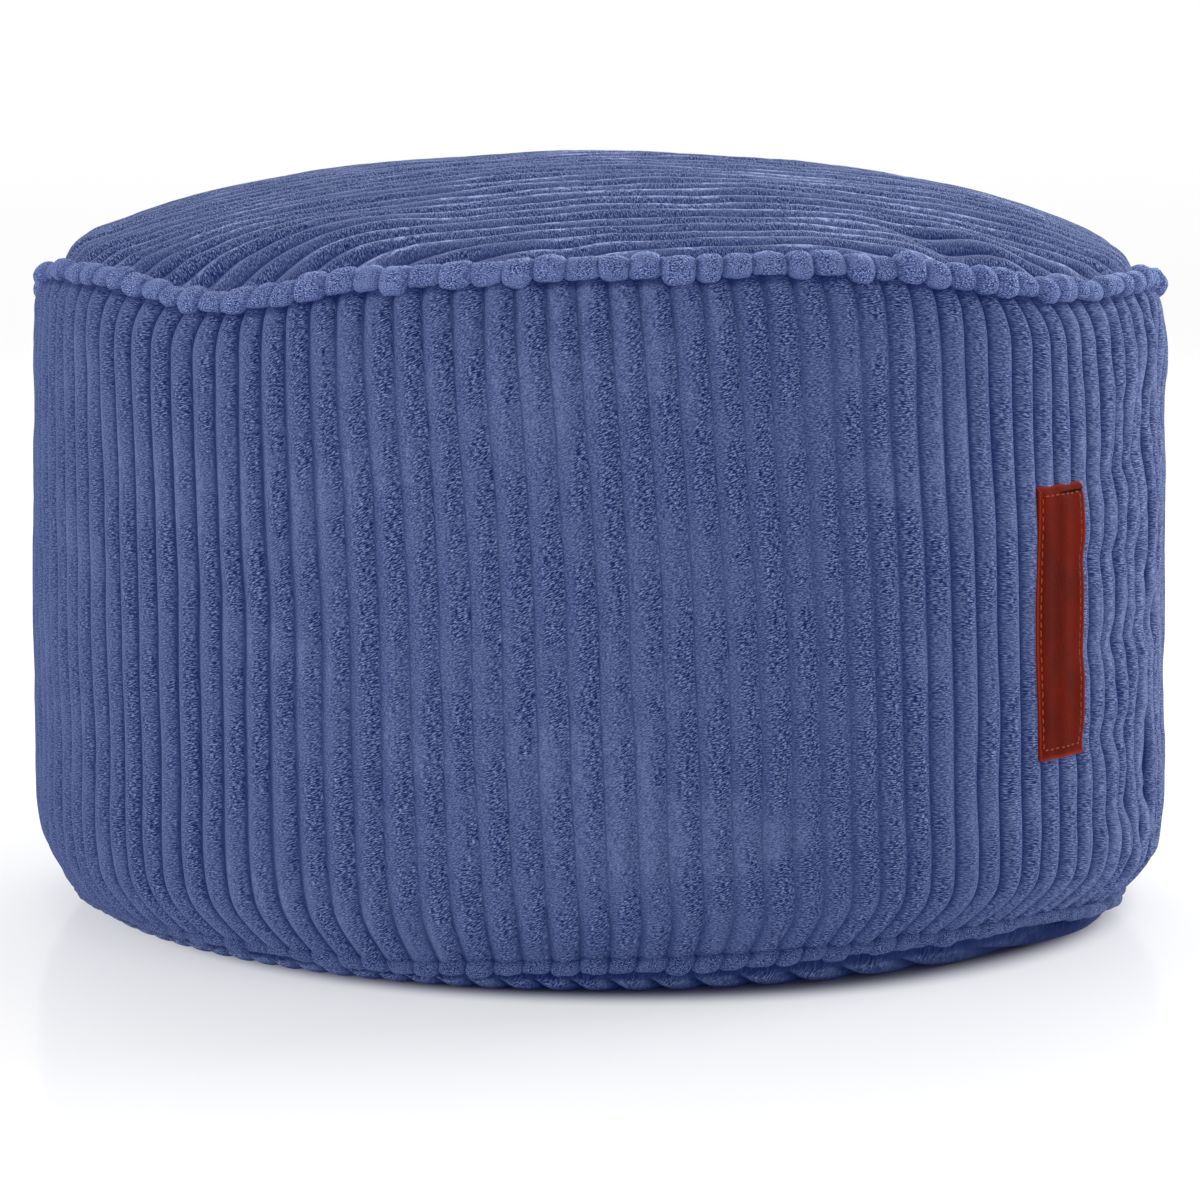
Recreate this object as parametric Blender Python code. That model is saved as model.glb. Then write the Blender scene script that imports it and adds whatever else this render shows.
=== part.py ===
"""Round bean bag footstool covered in wide corduroy.

Metres, +Z up. The origin is the middle of the flat foot and the front faces -Y.
Angles are in degrees: 0 is the front, +90 the right side, 180 the back.

The filled cover is six sewn pieces: a side panel with upright wales, a crowned top
panel, a bottom panel that is flat where it rests, a beaded piping in each of the two
seams, and a leather label on the side panel.
"""
import math
from collections import namedtuple

import bpy
from mathutils import Vector

# Driving dimensions
DIAMETER = 0.5000        # across the fullest part of the side
SEAM_HEIGHT = 0.2800     # middle of the top piping where the seam lies level
CROWN = 0.0505           # rise of the filled top above its seam
FOOT_RADIUS = 0.2120     # the flat round that rests
WALE_COUNT = 122         # wales round the side, and beads round each seam
WALE_DEPTH = 0.0036      # from a wale's crest down to the groove beside it
SEAM_GAP = 0.0004        # between pieces that are sewn to each other

# Sizes that follow
RADIUS = DIAMETER / 2.0
WALE_PITCH = math.pi * DIAMETER / WALE_COUNT
TOP_RIM_INSET = 0.0136   # the top seam line, in from the fullest part
TOP_RIM_RADIUS = RADIUS - TOP_RIM_INSET
BOTTOM_SEAM_HEIGHT = 0.0086
BOTTOM_RIM_INSET = 0.0236
BOTTOM_RIM_RADIUS = RADIUS - BOTTOM_RIM_INSET
BEAD_CLEARANCE = 0.0004  # from the seam line to the piping's inner edge

# Top panel
TOP_WALE_TURN = 13.0     # degrees from the left-right line, right ends to the back
CROWN_POWER = 0.65       # under 1 keeps the middle flat and the edge steep
CROWN_SPREAD = 0.2400    # radius at which the crown would reach the seam's height
CROWN_BASE_DROP = 0.0010
LIFT_FADE_POWER = 6      # how fast the seam's lift dies out towards the middle
DIP_FADE_POWER = 30      # and how much faster its dips do
TOP_ROLL = 0.0085        # width of the rounding into the seam
FRONT_ROLL = 0.0120      # how much wider it is at the front
FRONT_ROLL_ANGLE = -8.0
FRONT_ROLL_HALF_ANGLE = 42.0
TOP_STEPS = 16           # spaces along each wale
END_ARC_SHARE = 0.8      # how far the end arc reaches towards the first full line

# Bottom panel
EDGE_RISE = 0.0042       # the bottom's edge stands this high above the floor
EDGE_WALE_DEPTH = 0.0016
EDGE_WALE_SLANT = 4.0    # degrees that the edge's wales lean round the foot

# Label
LABEL_ANGLE = 49.9
LABEL_WIDTH = 0.0315
LABEL_LOW = 0.0870
LABEL_HIGH = 0.2010
LABEL_THICKNESS = 0.0016
LABEL_STANDOFF = 0.0004
LABEL_COLUMNS = 6
LABEL_ROWS = 10

# Lean of the wales: heights between which each shift grows
LEAN_MIDDLE = 0.1600
LEAN_REACH = 0.1000
HOOK_START = 0.2580
HOOK_END = 0.2800
FOOT_HOOK_HEIGHT = 0.0400
FOOT_HOOK_POWER = 1.7
LIFT_START = 0.1000
LIFT_END = 0.2600
FOOT_FADE = 0.0700       # the bottom seam's lift has died out this far up the side

# One wale's section: how far across the pitch, and how high up to its crest
RibPoint = namedtuple("RibPoint", "across rise")
SIDE_RIB = (RibPoint(0.00, 0.0), RibPoint(0.29, 1.0), RibPoint(0.71, 1.0))
TOP_RIB = (RibPoint(0.00, 0.0), RibPoint(0.29, 1.0), RibPoint(0.71, 1.0))
EDGE_RIB = (RibPoint(0.00, 0.0), RibPoint(0.50, 1.0))

# The side panel's upright profile at its wales' crests, from the bottom seam up
Section = namedtuple("Section", "height inset rib")
SIDE_PROFILE = (
    Section(0.0088, 0.0236, 0.0),
    Section(0.0170, 0.0118, 0.7),
    Section(0.0270, 0.0042, 1.0),
    Section(0.0430, 0.0008, 1.0),
    Section(0.0850, -0.0004, 1.0),
    Section(0.1500, 0.0000, 1.0),
    Section(0.2150, 0.0011, 1.0),
    Section(0.2600, 0.0022, 1.0),
    Section(0.2742, 0.0048, 0.8),
    Section(0.2798, 0.0136, 0.0),
)

# The piping's sections, out and up from the seam line, counter-clockwise
SectionPoint = namedtuple("SectionPoint", "out up")
TOP_BEAD = (
    SectionPoint(0.0000, 0.0000),
    SectionPoint(0.0062, -0.0038),
    SectionPoint(0.0106, -0.0030),
    SectionPoint(0.0118, 0.0014),
    SectionPoint(0.0084, 0.0062),
    SectionPoint(0.0030, 0.0054),
)
BOTTOM_BEAD = (
    SectionPoint(0.0000, 0.0000),
    SectionPoint(0.0048, -0.0046),
    SectionPoint(0.0094, -0.0006),
    SectionPoint(0.0052, 0.0034),
)
BEAD_NECK = 0.74         # size of the strip between two beads, against a bead's own

# How far the top seam stands above or below its level height, round the stool, and
# where the seam alone is pulled down and the top bulges over it
Lift = namedtuple("Lift", "angle rise")
SEAM_LIFT = (
    Lift(-175, 0.0030),
    Lift(-140, -0.0010),
    Lift(-105, 0.0012),
    Lift(-75, 0.0022),
    Lift(-54, 0.0018),
    Lift(-37, -0.0010),
    Lift(-25, 0.0085),
    Lift(-12, 0.0138),
    Lift(8, 0.0164),
    Lift(29, 0.0140),
    Lift(41, 0.0054),
    Lift(57, -0.0028),
    Lift(77, 0.0003),
    Lift(110, 0.0022),
    Lift(145, -0.0015),
)

SEAM_DIP = (
    Lift(-160, 0.0000),
    Lift(-128, -0.0010),
    Lift(-103, -0.0080),
    Lift(-90, -0.0050),
    Lift(-76, 0.0000),
    Lift(-40, 0.0000),
    Lift(40, 0.0000),
    Lift(74, 0.0000),
    Lift(88, -0.0046),
    Lift(102, -0.0092),
    Lift(128, -0.0012),
    Lift(160, 0.0000),
)

# The bottom seam's rise and reach round the stool
FootLift = namedtuple("FootLift", "angle rise out")
FOOT_LIFT = (
    FootLift(-150, 0.0010, 0.0010),
    FootLift(-90, 0.0005, 0.0000),
    FootLift(-38, 0.0016, 0.0020),
    FootLift(-20, 0.0012, 0.0030),
    FootLift(-8, 0.0034, 0.0040),
    FootLift(6, 0.0048, 0.0050),
    FootLift(20, 0.0060, 0.0052),
    FootLift(38, 0.0066, 0.0050),
    FootLift(52, 0.0058, 0.0062),
    FootLift(64, 0.0030, 0.0078),
    FootLift(74, 0.0010, 0.0030),
    FootLift(88, 0.0006, -0.0030),
    FootLift(150, 0.0014, 0.0000),
)

# Sideways shifts of the wales: below the top, and at the foot
Lean = namedtuple("Lean", "angle top foot")
WALE_LEAN = (
    Lean(-150, 0.0000, 0.0000),
    Lean(-100, -0.0030, 0.0010),
    Lean(-60, -0.0060, 0.0010),
    Lean(-40, -0.0070, 0.0010),
    Lean(-28, -0.0080, 0.0020),
    Lean(-10, -0.0080, 0.0040),
    Lean(10, -0.0080, 0.0040),
    Lean(25, -0.0055, 0.0040),
    Lean(45, -0.0030, 0.0030),
    Lean(70, -0.0020, 0.0010),
    Lean(110, 0.0010, 0.0000),
    Lean(160, 0.0020, 0.0000),
)

# The last stretch under the top seam, where the seam pulls the wales' tops sideways
Hook = namedtuple("Hook", "angle shift")
WALE_HOOK = (
    Hook(-150, 0.0000),
    Hook(-100, 0.0010),
    Hook(-70, 0.0020),
    Hook(-57, 0.0050),
    Hook(-48, 0.0085),
    Hook(-41, 0.0085),
    Hook(-36, 0.0045),
    Hook(-31, 0.0020),
    Hook(-20, 0.0010),
    Hook(5, 0.0000),
    Hook(20, -0.0020),
    Hook(40, -0.0030),
    Hook(48, -0.0090),
    Hook(56, -0.0100),
    Hook(66, -0.0060),
    Hook(80, -0.0030),
    Hook(110, 0.0000),
    Hook(160, 0.0010),
)

# The last stretch above the bottom seam, where the wales' lower ends sweep aside
FOOT_HOOK = (
    Hook(-120, 0.0000),
    Hook(-84, 0.0040),
    Hook(-62, 0.0090),
    Hook(-42, 0.0110),
    Hook(-30, 0.0080),
    Hook(-14, 0.0020),
    Hook(2, -0.0010),
    Hook(16, -0.0045),
    Hook(28, -0.0100),
    Hook(40, -0.0150),
    Hook(54, -0.0160),
    Hook(70, -0.0120),
    Hook(84, -0.0050),
    Hook(130, 0.0000),
)

# Soft fullness and hollows of the side panel
Lump = namedtuple("Lump", "angle height half_angle half_height out")
SIDE_LUMPS = (
    Lump(-86, 0.070, 30, 0.050, -0.0006),
    Lump(-84, 0.022, 28, 0.014, 0.0030),
    Lump(86, 0.050, 30, 0.050, 0.0020),
    Lump(-4, 0.120, 34, 0.060, 0.0016),
    Lump(-36, 0.255, 9, 0.022, -0.0026),
    Lump(57, 0.255, 9, 0.022, -0.0022),
    Lump(24, 0.225, 20, 0.050, -0.0014),
    Lump(-58, 0.165, 16, 0.060, 0.0012),
    Lump(152, 0.120, 28, 0.070, 0.0020),
    Lump(-140, 0.175, 24, 0.060, -0.0020),
    Lump(-172, 0.085, 20, 0.040, 0.0014),
)

# Creases and fullness of the top panel; reach is the distance from the middle
Dent = namedtuple("Dent", "angle reach half_angle half_reach up")
TOP_DENTS = (
    Dent(42, 0.220, 3.6, 0.028, -0.0056),
    Dent(49, 0.216, 3.6, 0.020, 0.0026),
    Dent(-3, 0.222, 3.0, 0.016, -0.0020),
    Dent(84, 0.218, 16.0, 0.022, -0.0040),
    Dent(-34, 0.205, 9.0, 0.030, 0.0035),
    Dent(-112, 0.200, 10.0, 0.040, -0.0022),
    Dent(150, 0.190, 14.0, 0.045, -0.0025),
    Dent(-160, 0.170, 18.0, 0.045, 0.0018),
    Dent(-118, 0.180, 24.0, 0.055, 0.0030),
)

# Finishes: colour, roughness
CORDUROY_SIDE = ((0.068, 0.094, 0.225), 0.95)
CORDUROY_TOP = ((0.082, 0.110, 0.250), 0.95)
CORDUROY_PIPING = ((0.075, 0.102, 0.238), 0.95)
CORDUROY_BOTTOM = ((0.050, 0.070, 0.180), 0.95)
RED_BROWN_LEATHER = ((0.110, 0.016, 0.012), 0.55)


def clear_scene():
    """Remove every object that the scene starts with."""
    for item in list(bpy.data.objects):
        bpy.data.objects.remove(item, do_unlink=True)


def fabric(name, finish):
    """A material of one colour and roughness, with no metal in it."""
    colour, roughness = finish
    material = bpy.data.materials.new(name)
    material.use_nodes = True
    shader = material.node_tree.nodes["Principled BSDF"]
    shader.inputs["Base Color"].default_value = (*colour, 1.0)
    shader.inputs["Roughness"].default_value = roughness
    shader.inputs["Metallic"].default_value = 0.0
    material.diffuse_color = (*colour, 1.0)
    return material


def add_piece(name, points, faces, material, smooth=True):
    """One closed mesh object at the origin."""
    mesh = bpy.data.meshes.new(name)
    mesh.from_pydata([tuple(point) for point in points], [], faces)
    mesh.validate()
    if smooth:
        mesh.shade_smooth()
        mesh.set_sharp_from_angle(angle=math.radians(50.0))
    mesh.materials.append(material)
    piece = bpy.data.objects.new(name, mesh)
    bpy.context.scene.collection.objects.link(piece)
    return piece


def polar(angle, radius, height):
    """The point at an angle from the front, a distance from the axis, and a height."""
    turn = math.radians(angle)
    return Vector((radius * math.sin(turn), -radius * math.cos(turn), height))


def angle_between(first, second):
    """The turn from the second angle to the first, from -180 to 180."""
    return (first - second + 180.0) % 360.0 - 180.0


def ease(value, start, end):
    """Rise smoothly from 0 at start to 1 at end."""
    share = min(max((value - start) / (end - start), 0.0), 1.0)
    return share * share * (3.0 - 2.0 * share)


def around(table, angle, column):
    """A table's column at any angle, on a smooth closed curve through its rows."""
    count = len(table)
    for index in range(count):
        span = (table[(index + 1) % count].angle - table[index].angle) % 360.0
        offset = (angle - table[index].angle) % 360.0
        if offset < span:
            break
    share = offset / span
    before, start, end, after = (
        getattr(table[(index + step) % count], column) for step in (-1, 0, 1, 2))
    span_before = (table[index].angle - table[index - 1].angle) % 360.0
    span_after = (table[(index + 2) % count].angle - table[(index + 1) % count].angle) % 360.0
    slope_start = (end - before) / (span + span_before) * span
    slope_end = (after - start) / (span + span_after) * span
    square, cube = share * share, share * share * share
    return ((2 * cube - 3 * square + 1) * start + (cube - 2 * square + share) * slope_start
            + (3 * square - 2 * cube) * end + (cube - square) * slope_end)


def bell(distance, half_width):
    """A soft hump, 1 at no distance and near 0 past twice the half width."""
    return math.exp(-(distance / half_width) ** 2)


def seam_lift(angle):
    """How far the top seam stands above its level height."""
    return around(SEAM_LIFT, angle, "rise") + around(SEAM_DIP, angle, "rise")


def foot_rise(angle):
    """How far the bottom seam stands above its level height."""
    return around(FOOT_LIFT, angle, "rise")


def foot_out(angle):
    """How far the bottom seam lies outside its round."""
    return around(FOOT_LIFT, angle, "out")


def side_lift(angle, height):
    """How far the two seams lift the side panel at a height."""
    foot = 1.0 - ease(height, BOTTOM_SEAM_HEIGHT, FOOT_FADE)
    return ease(height, LIFT_START, LIFT_END) * seam_lift(angle) + foot * foot_rise(angle)


def side_lump(angle, height):
    """How far the side panel is fuller there than its profile."""
    return sum(lump.out
               * bell(angle_between(angle, lump.angle), lump.half_angle)
               * bell(height - lump.height, lump.half_height)
               for lump in SIDE_LUMPS)


def side_shift(angle, height):
    """How far a wale has leant sideways at a height, in degrees round the stool."""
    above = min(max((height - LEAN_MIDDLE) / LEAN_REACH, 0.0), 1.15)
    below = min(max((LEAN_MIDDLE - height) / LEAN_REACH, 0.0), 1.30)
    hook = ease(height, HOOK_START, HOOK_END)
    hooked = (FOOT_HOOK_HEIGHT - height) / (FOOT_HOOK_HEIGHT - BOTTOM_SEAM_HEIGHT)
    foot_hook = min(max(hooked, 0.0), 1.0) ** FOOT_HOOK_POWER
    shift = (above * around(WALE_LEAN, angle, "top")
             + below * around(WALE_LEAN, angle, "foot")
             + hook * around(WALE_HOOK, angle, "shift")
             + foot_hook * around(FOOT_HOOK, angle, "shift"))
    return math.degrees(shift / RADIUS)


def side_place(angle, section, depth):
    """A point of the side panel on one of its sections, sunk below the crests."""
    lump = side_lump(angle, section.height) if section.rib > 0.0 else 0.0
    foot = 1.0 - ease(section.height, BOTTOM_SEAM_HEIGHT, FOOT_FADE)
    out = foot * foot_out(angle) * (1.0 - 0.5 * min(section.rib, 1.0))
    radius = RADIUS - section.inset + lump + out - depth * section.rib
    return polar(angle, radius, section.height + side_lift(angle, section.height))


def closed_skin(rings, low_middle=None, high_middle=None):
    """Points and faces of a closed skin over rings that are stacked upwards.

    An end with a middle point is a fan to it, and one without is a single flat face.
    """
    size = len(rings[0])
    points = [point for ring in rings for point in ring]
    faces = []
    for level in range(len(rings) - 1):
        low, high = level * size, (level + 1) * size
        for step in range(size):
            following = (step + 1) % size
            faces.append((low + step, low + following, high + following, high + step))
    last = (len(rings) - 1) * size
    if low_middle is None:
        faces.append(tuple(reversed(range(size))))
    else:
        points.append(low_middle)
        middle = len(points) - 1
        faces.extend((middle, (step + 1) % size, step) for step in range(size))
    if high_middle is None:
        faces.append(tuple(range(last, last + size)))
    else:
        points.append(high_middle)
        middle = len(points) - 1
        faces.extend((middle, last + step, last + (step + 1) % size) for step in range(size))
    return points, faces


def make_side_panel(material):
    """The band and its filling: upright leaning wales over the drum's profile."""
    rings = []
    for section in SIDE_PROFILE:
        ring = []
        for wale in range(WALE_COUNT):
            for point in SIDE_RIB:
                angle = 360.0 * (wale + point.across) / WALE_COUNT
                angle += side_shift(angle, section.height)
                ring.append(side_place(angle, section, WALE_DEPTH * (1.0 - point.rise)))
        rings.append(ring)
    low_middle = Vector((0.0, 0.0, SIDE_PROFILE[0].height))
    high_middle = Vector((0.0, 0.0, SIDE_PROFILE[-1].height))
    return add_piece("side_panel", *closed_skin(rings, low_middle, high_middle), material)


def top_height(x, y, depth):
    """The height of the top panel's outside, sunk below the crests of its wales."""
    reach = math.hypot(x, y)
    angle = math.degrees(math.atan2(x, -y))
    share = min(reach / CROWN_SPREAD, 1.0)
    rim_share = reach / TOP_RIM_RADIUS
    crown = CROWN * (1.0 - share * share) ** CROWN_POWER - CROWN_BASE_DROP
    lift = (around(SEAM_LIFT, angle, "rise") * rim_share ** LIFT_FADE_POWER
            + around(SEAM_DIP, angle, "rise") * rim_share ** DIP_FADE_POWER)
    dents = sum(dent.up
                * bell(angle_between(angle, dent.angle), dent.half_angle)
                * bell(reach - dent.reach, dent.half_reach)
                for dent in TOP_DENTS)
    front = bell(angle_between(angle, FRONT_ROLL_ANGLE), FRONT_ROLL_HALF_ANGLE)
    rim_gap = min((TOP_RIM_RADIUS - reach) / (TOP_ROLL + FRONT_ROLL * front), 1.0)
    roll = math.sqrt(1.0 - (1.0 - rim_gap) ** 2)
    rim_lift = seam_lift(angle)
    return SEAM_HEIGHT + rim_lift + (crown + lift + dents - rim_lift) * roll - depth


def top_lines():
    """The lines along the top panel's wales: distance across them, and depth."""
    lines = []
    half_count = int(TOP_RIM_RADIUS / WALE_PITCH)
    for wale in range(-half_count, half_count + 1):
        for point in TOP_RIB:
            across = (wale + point.across) * WALE_PITCH
            if wale == half_count and point.across > 0.0:
                break
            lines.append((across, WALE_DEPTH * (1.0 - point.rise)))
    return lines


def top_rows():
    """Rows of flat positions across the round: an end arc, the lines, an end arc."""
    lines = top_lines()
    first_end = math.acos(abs(lines[0][0]) / TOP_RIM_RADIUS)
    rows = []
    for across, depth in [(-TOP_RIM_RADIUS, 0.0), *lines, (TOP_RIM_RADIUS, 0.0)]:
        row = []
        for step in range(TOP_STEPS + 1):
            share = 2.0 * step / TOP_STEPS - 1.0
            if abs(across) == TOP_RIM_RADIUS:
                turn = share * first_end * END_ARC_SHARE
                along = TOP_RIM_RADIUS * math.sin(turn)
                level = across * math.cos(turn)
            else:
                half = math.sqrt(TOP_RIM_RADIUS ** 2 - across ** 2)
                along = half * math.sin(0.5 * math.pi * share)
                level = across
            row.append((along, level, depth))
        rows.append(row)
    return rows


def make_top_panel(material):
    """The crowned top: straight wales over a dome, cut off round at the seam."""
    rows = top_rows()
    turn = math.radians(TOP_WALE_TURN)
    last_row, last_step = len(rows) - 1, TOP_STEPS
    points = []
    for row_index, row in enumerate(rows):
        for step, (along, level, depth) in enumerate(row):
            x = along * math.cos(turn) - level * math.sin(turn)
            y = along * math.sin(turn) + level * math.cos(turn)
            on_rim = row_index in (0, last_row) or step in (0, last_step)
            if on_rim:
                angle = math.degrees(math.atan2(x, -y))
                height = SEAM_HEIGHT + 0.5 * SEAM_GAP + seam_lift(angle)
            else:
                height = top_height(x, y, depth)
            points.append(Vector((x, y, height)))
    width = TOP_STEPS + 1
    faces = []
    for row_index in range(last_row):
        for step in range(TOP_STEPS):
            corner = row_index * width + step
            faces.append((corner, corner + 1, corner + width + 1, corner + width))
    rim = list(range(width))
    rim += [row_index * width + last_step for row_index in range(1, last_row)]
    rim += [last_row * width + step for step in range(last_step, -1, -1)]
    rim += [row_index * width for row_index in range(last_row - 1, 0, -1)]
    points.append(Vector((0.0, 0.0, SEAM_HEIGHT + 0.5 * SEAM_GAP)))
    middle = len(points) - 1
    for index, corner in enumerate(rim):
        faces.append((middle, rim[(index + 1) % len(rim)], corner))
    return add_piece("top_panel", points, faces, material)


def make_piping(name, section, rim, height, material):
    """A ring of beads, one for each wale, whose inner edge lies in its seam.

    The rim's radius and its height are functions of the angle.
    """
    columns = []
    for bead in range(WALE_COUNT):
        columns.append((360.0 * bead / WALE_COUNT, BEAD_NECK))
        columns.append((360.0 * (bead + 0.5) / WALE_COUNT, 1.0))
    points = []
    for angle, size in columns:
        for corner in section:
            radius = rim(angle) + BEAD_CLEARANCE + corner.out * size
            points.append(polar(angle, radius, height(angle) + corner.up * size))
    size, faces = len(section), []
    for column in range(len(columns)):
        following = (column + 1) % len(columns)
        for step in range(size):
            after = (step + 1) % size
            faces.append((column * size + step, following * size + step,
                          following * size + after, column * size + after))
    return add_piece(name, points, faces, material)


def make_bottom_panel(material):
    """The bottom: a flat round foot, and an edge that rises with slanting wales."""
    foot, edge, rim = [], [], []
    rim_height = BOTTOM_SEAM_HEIGHT - 0.5 * SEAM_GAP
    for wale in range(WALE_COUNT):
        for point in EDGE_RIB:
            angle = 360.0 * (wale + point.across) / WALE_COUNT
            foot.append(polar(angle, FOOT_RADIUS, 0.0))
            angle += EDGE_WALE_SLANT
            radius = BOTTOM_RIM_RADIUS + foot_out(angle)
            edge_height = EDGE_RISE + EDGE_WALE_DEPTH * (1.0 - point.rise)
            edge.append(polar(angle, radius, edge_height))
            rim.append(polar(angle, radius, rim_height + foot_rise(angle)))
    high_middle = Vector((0.0, 0.0, rim_height))
    return add_piece("bottom_panel", *closed_skin([foot, edge, rim], None, high_middle), material)


def side_reach(angle, height):
    """How far out the side panel's crests lie at a height, by its own flat facets."""
    for low, high in zip(SIDE_PROFILE, SIDE_PROFILE[1:]):
        low_height = low.height + side_lift(angle, low.height)
        high_height = high.height + side_lift(angle, high.height)
        if low_height <= height <= high_height:
            share = (height - low_height) / (high_height - low_height)
            low_radius = RADIUS - low.inset + side_lump(angle, low.height)
            high_radius = RADIUS - high.inset + side_lump(angle, high.height)
            return low_radius + share * (high_radius - low_radius)
    return RADIUS


def make_label(material):
    """The leather label, bent to the side panel and lying on its wales' crests."""
    half_turn = math.degrees(0.5 * LABEL_WIDTH / RADIUS)
    front, back = [], []
    for row in range(LABEL_ROWS + 1):
        height = LABEL_LOW + (LABEL_HIGH - LABEL_LOW) * row / LABEL_ROWS
        for column in range(LABEL_COLUMNS + 1):
            angle = LABEL_ANGLE + half_turn * (2.0 * column / LABEL_COLUMNS - 1.0)
            seat = side_reach(angle, height) + LABEL_STANDOFF
            back.append(polar(angle, seat, height))
            front.append(polar(angle, seat + LABEL_THICKNESS, height))
    width, count = LABEL_COLUMNS + 1, len(front)
    faces = []
    for row in range(LABEL_ROWS):
        for column in range(LABEL_COLUMNS):
            corner = row * width + column
            square = (corner, corner + 1, corner + width + 1, corner + width)
            faces.append(square)
            faces.append(tuple(count + index for index in reversed(square)))
    edge = list(range(width))
    edge += [row * width + LABEL_COLUMNS for row in range(1, LABEL_ROWS)]
    edge += [LABEL_ROWS * width + column for column in range(LABEL_COLUMNS, -1, -1)]
    edge += [row * width for row in range(LABEL_ROWS - 1, 0, -1)]
    for index, corner in enumerate(edge):
        following = edge[(index + 1) % len(edge)]
        faces.append((corner, count + corner, count + following, following))
    return add_piece("label", front + back, faces, material, smooth=False)


def main():
    """Build the footstool from its foot to its label."""
    clear_scene()
    piping = fabric("corduroy_piping", CORDUROY_PIPING)
    make_side_panel(fabric("corduroy_side", CORDUROY_SIDE))
    make_top_panel(fabric("corduroy_top", CORDUROY_TOP))
    make_bottom_panel(fabric("corduroy_bottom", CORDUROY_BOTTOM))
    make_piping("top_piping", TOP_BEAD, lambda angle: TOP_RIM_RADIUS,
                lambda angle: SEAM_HEIGHT + seam_lift(angle), piping)
    make_piping("bottom_piping", BOTTOM_BEAD,
                lambda angle: BOTTOM_RIM_RADIUS + foot_out(angle),
                lambda angle: BOTTOM_SEAM_HEIGHT + foot_rise(angle), piping)
    make_label(fabric("leather_label", RED_BROWN_LEATHER))


main()
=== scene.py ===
"""Looks of a round bean bag footstool in wide corduroy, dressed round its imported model.

Metres, +Z up. The origin is the middle of the flat foot and the front faces -Y.
Angles are in degrees: 0 is the front, +90 the right side, 180 the back.
"""
import math
from collections import namedtuple

import bpy
import numpy as np
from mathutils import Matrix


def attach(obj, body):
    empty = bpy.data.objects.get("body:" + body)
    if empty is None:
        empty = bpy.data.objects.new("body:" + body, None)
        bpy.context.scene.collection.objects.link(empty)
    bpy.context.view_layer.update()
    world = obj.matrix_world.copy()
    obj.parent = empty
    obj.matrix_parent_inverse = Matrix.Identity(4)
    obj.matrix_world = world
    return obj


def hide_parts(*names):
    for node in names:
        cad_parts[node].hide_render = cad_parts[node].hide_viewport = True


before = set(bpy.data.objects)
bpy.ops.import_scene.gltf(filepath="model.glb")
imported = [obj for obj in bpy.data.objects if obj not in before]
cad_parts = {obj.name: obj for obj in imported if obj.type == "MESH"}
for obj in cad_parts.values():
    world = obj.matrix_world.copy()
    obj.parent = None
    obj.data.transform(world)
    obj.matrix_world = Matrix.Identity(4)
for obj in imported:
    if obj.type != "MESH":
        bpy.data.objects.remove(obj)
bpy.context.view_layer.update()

bl_info = {
    "name": "Corduroy bean bag footstool",
    "version": (1, 0, 0),
    "blender": (4, 5, 0),
    "location": "View3D > Sidebar > Footstool",
    "description": "Models and finishes a round footstool in wide-wale corduroy",
    "category": "Object",
}

# Driving sizes, the same as the solid model's
DIAMETER = 0.5000
SEAM_HEIGHT = 0.2800
CROWN = 0.0496
FOOT_RADIUS = 0.2120
WALE_COUNT = 122
RADIUS = DIAMETER / 2.0
WALE_PITCH = math.pi * DIAMETER / WALE_COUNT
TOP_RIM_RADIUS = RADIUS - 0.0136
BOTTOM_RIM_RADIUS = RADIUS - 0.0236
BOTTOM_SEAM_HEIGHT = 0.0086
MERGE_DISTANCE = 1e-6


# Top panel
TOP_WALE_TURN = 13.0     # degrees from the left-right line, right ends to the back
CROWN_POWER = 0.65
CROWN_SPREAD = 0.2400
CROWN_BASE_DROP = 0.0010
LIFT_FADE_POWER = 6
DIP_FADE_POWER = 30
TOP_ROLL = 0.0085        # width of the rounding into the seam
FRONT_ROLL = 0.0120      # how much wider it is at the front
SIDE_ROLL = 0.0030       # and how much narrower at the sides
TOP_SQUEEZE = 0.0050     # the wales are pressed flat this close to the seam
TOP_STEPS = 190
TOP_GROOVE_SHADE = 0.66
TOP_CRACK_SHADE = 0.25
TOP_OPEN = 0.70          # how open the pile stands on one flank of each wale
TOP_BRUSHED = 1.3        # how much lighter the brushed patches lie
TOP_NAP_AND_LIGHT_LEVEL = 1.15           # what is taken from the flank light, partly painted, so that the rest lies darker
SLOPE_STEP = 0.0004      # the distance over which the top's slope is taken

# Bottom panel
BOTTOM_WALE_TURN = 56.0
BOTTOM_STEPS = 120
BOTTOM_GROOVE = 0.0026
BOTTOM_SQUEEZE = 0.0040
FOOT_EDGE_START = 0.0100 # the grooves start to deepen this far inside the foot's edge
FOOT_EDGE_END = 0.0060   # and stop this far outside it
LOW_SHADE_ANGLE = 60.0   # where the lifted edge lies in its own shadow
LOW_SHADE_HALF_ANGLE = 28.0
CONTACT_SHADE = 0.80     # how deep the painted shade is where the cloth meets the floor
BOTTOM_GROOVE_SHADE = 0.90
BOTTOM_OPEN = 0.9

# Lean of the side's wales: heights between which each shift grows
LEAN_MIDDLE = 0.1600
LEAN_REACH = 0.1000
HOOK_START = 0.2580
HOOK_END = 0.2800
FOOT_HOOK_HEIGHT = 0.0400
FOOT_HOOK_POWER = 1.7
CRUMPLE_ANGLE = 77.0     # the middle of the crumpled wales on the right
CRUMPLE_HALF_ANGLE = 15.0
CRUMPLE_DEPTH = 0.0012   # how far their crests go in and out
PUCKER_ANGLE = 70.0
PUCKER_HALF_ANGLE = 10.0
LIFT_START = 0.1000
LIFT_END = 0.2600
FOOT_FADE = 0.0700       # the bottom seam's lift has died out this far up the side
SIDE_ROWS = 89
LONG_ROWS = 0.1000       # how far the pile's pattern is stretched across the right
ROW_CROWDING = 0.45      # 0 spaces the rows evenly, 1 crowds them into the seams

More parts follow.
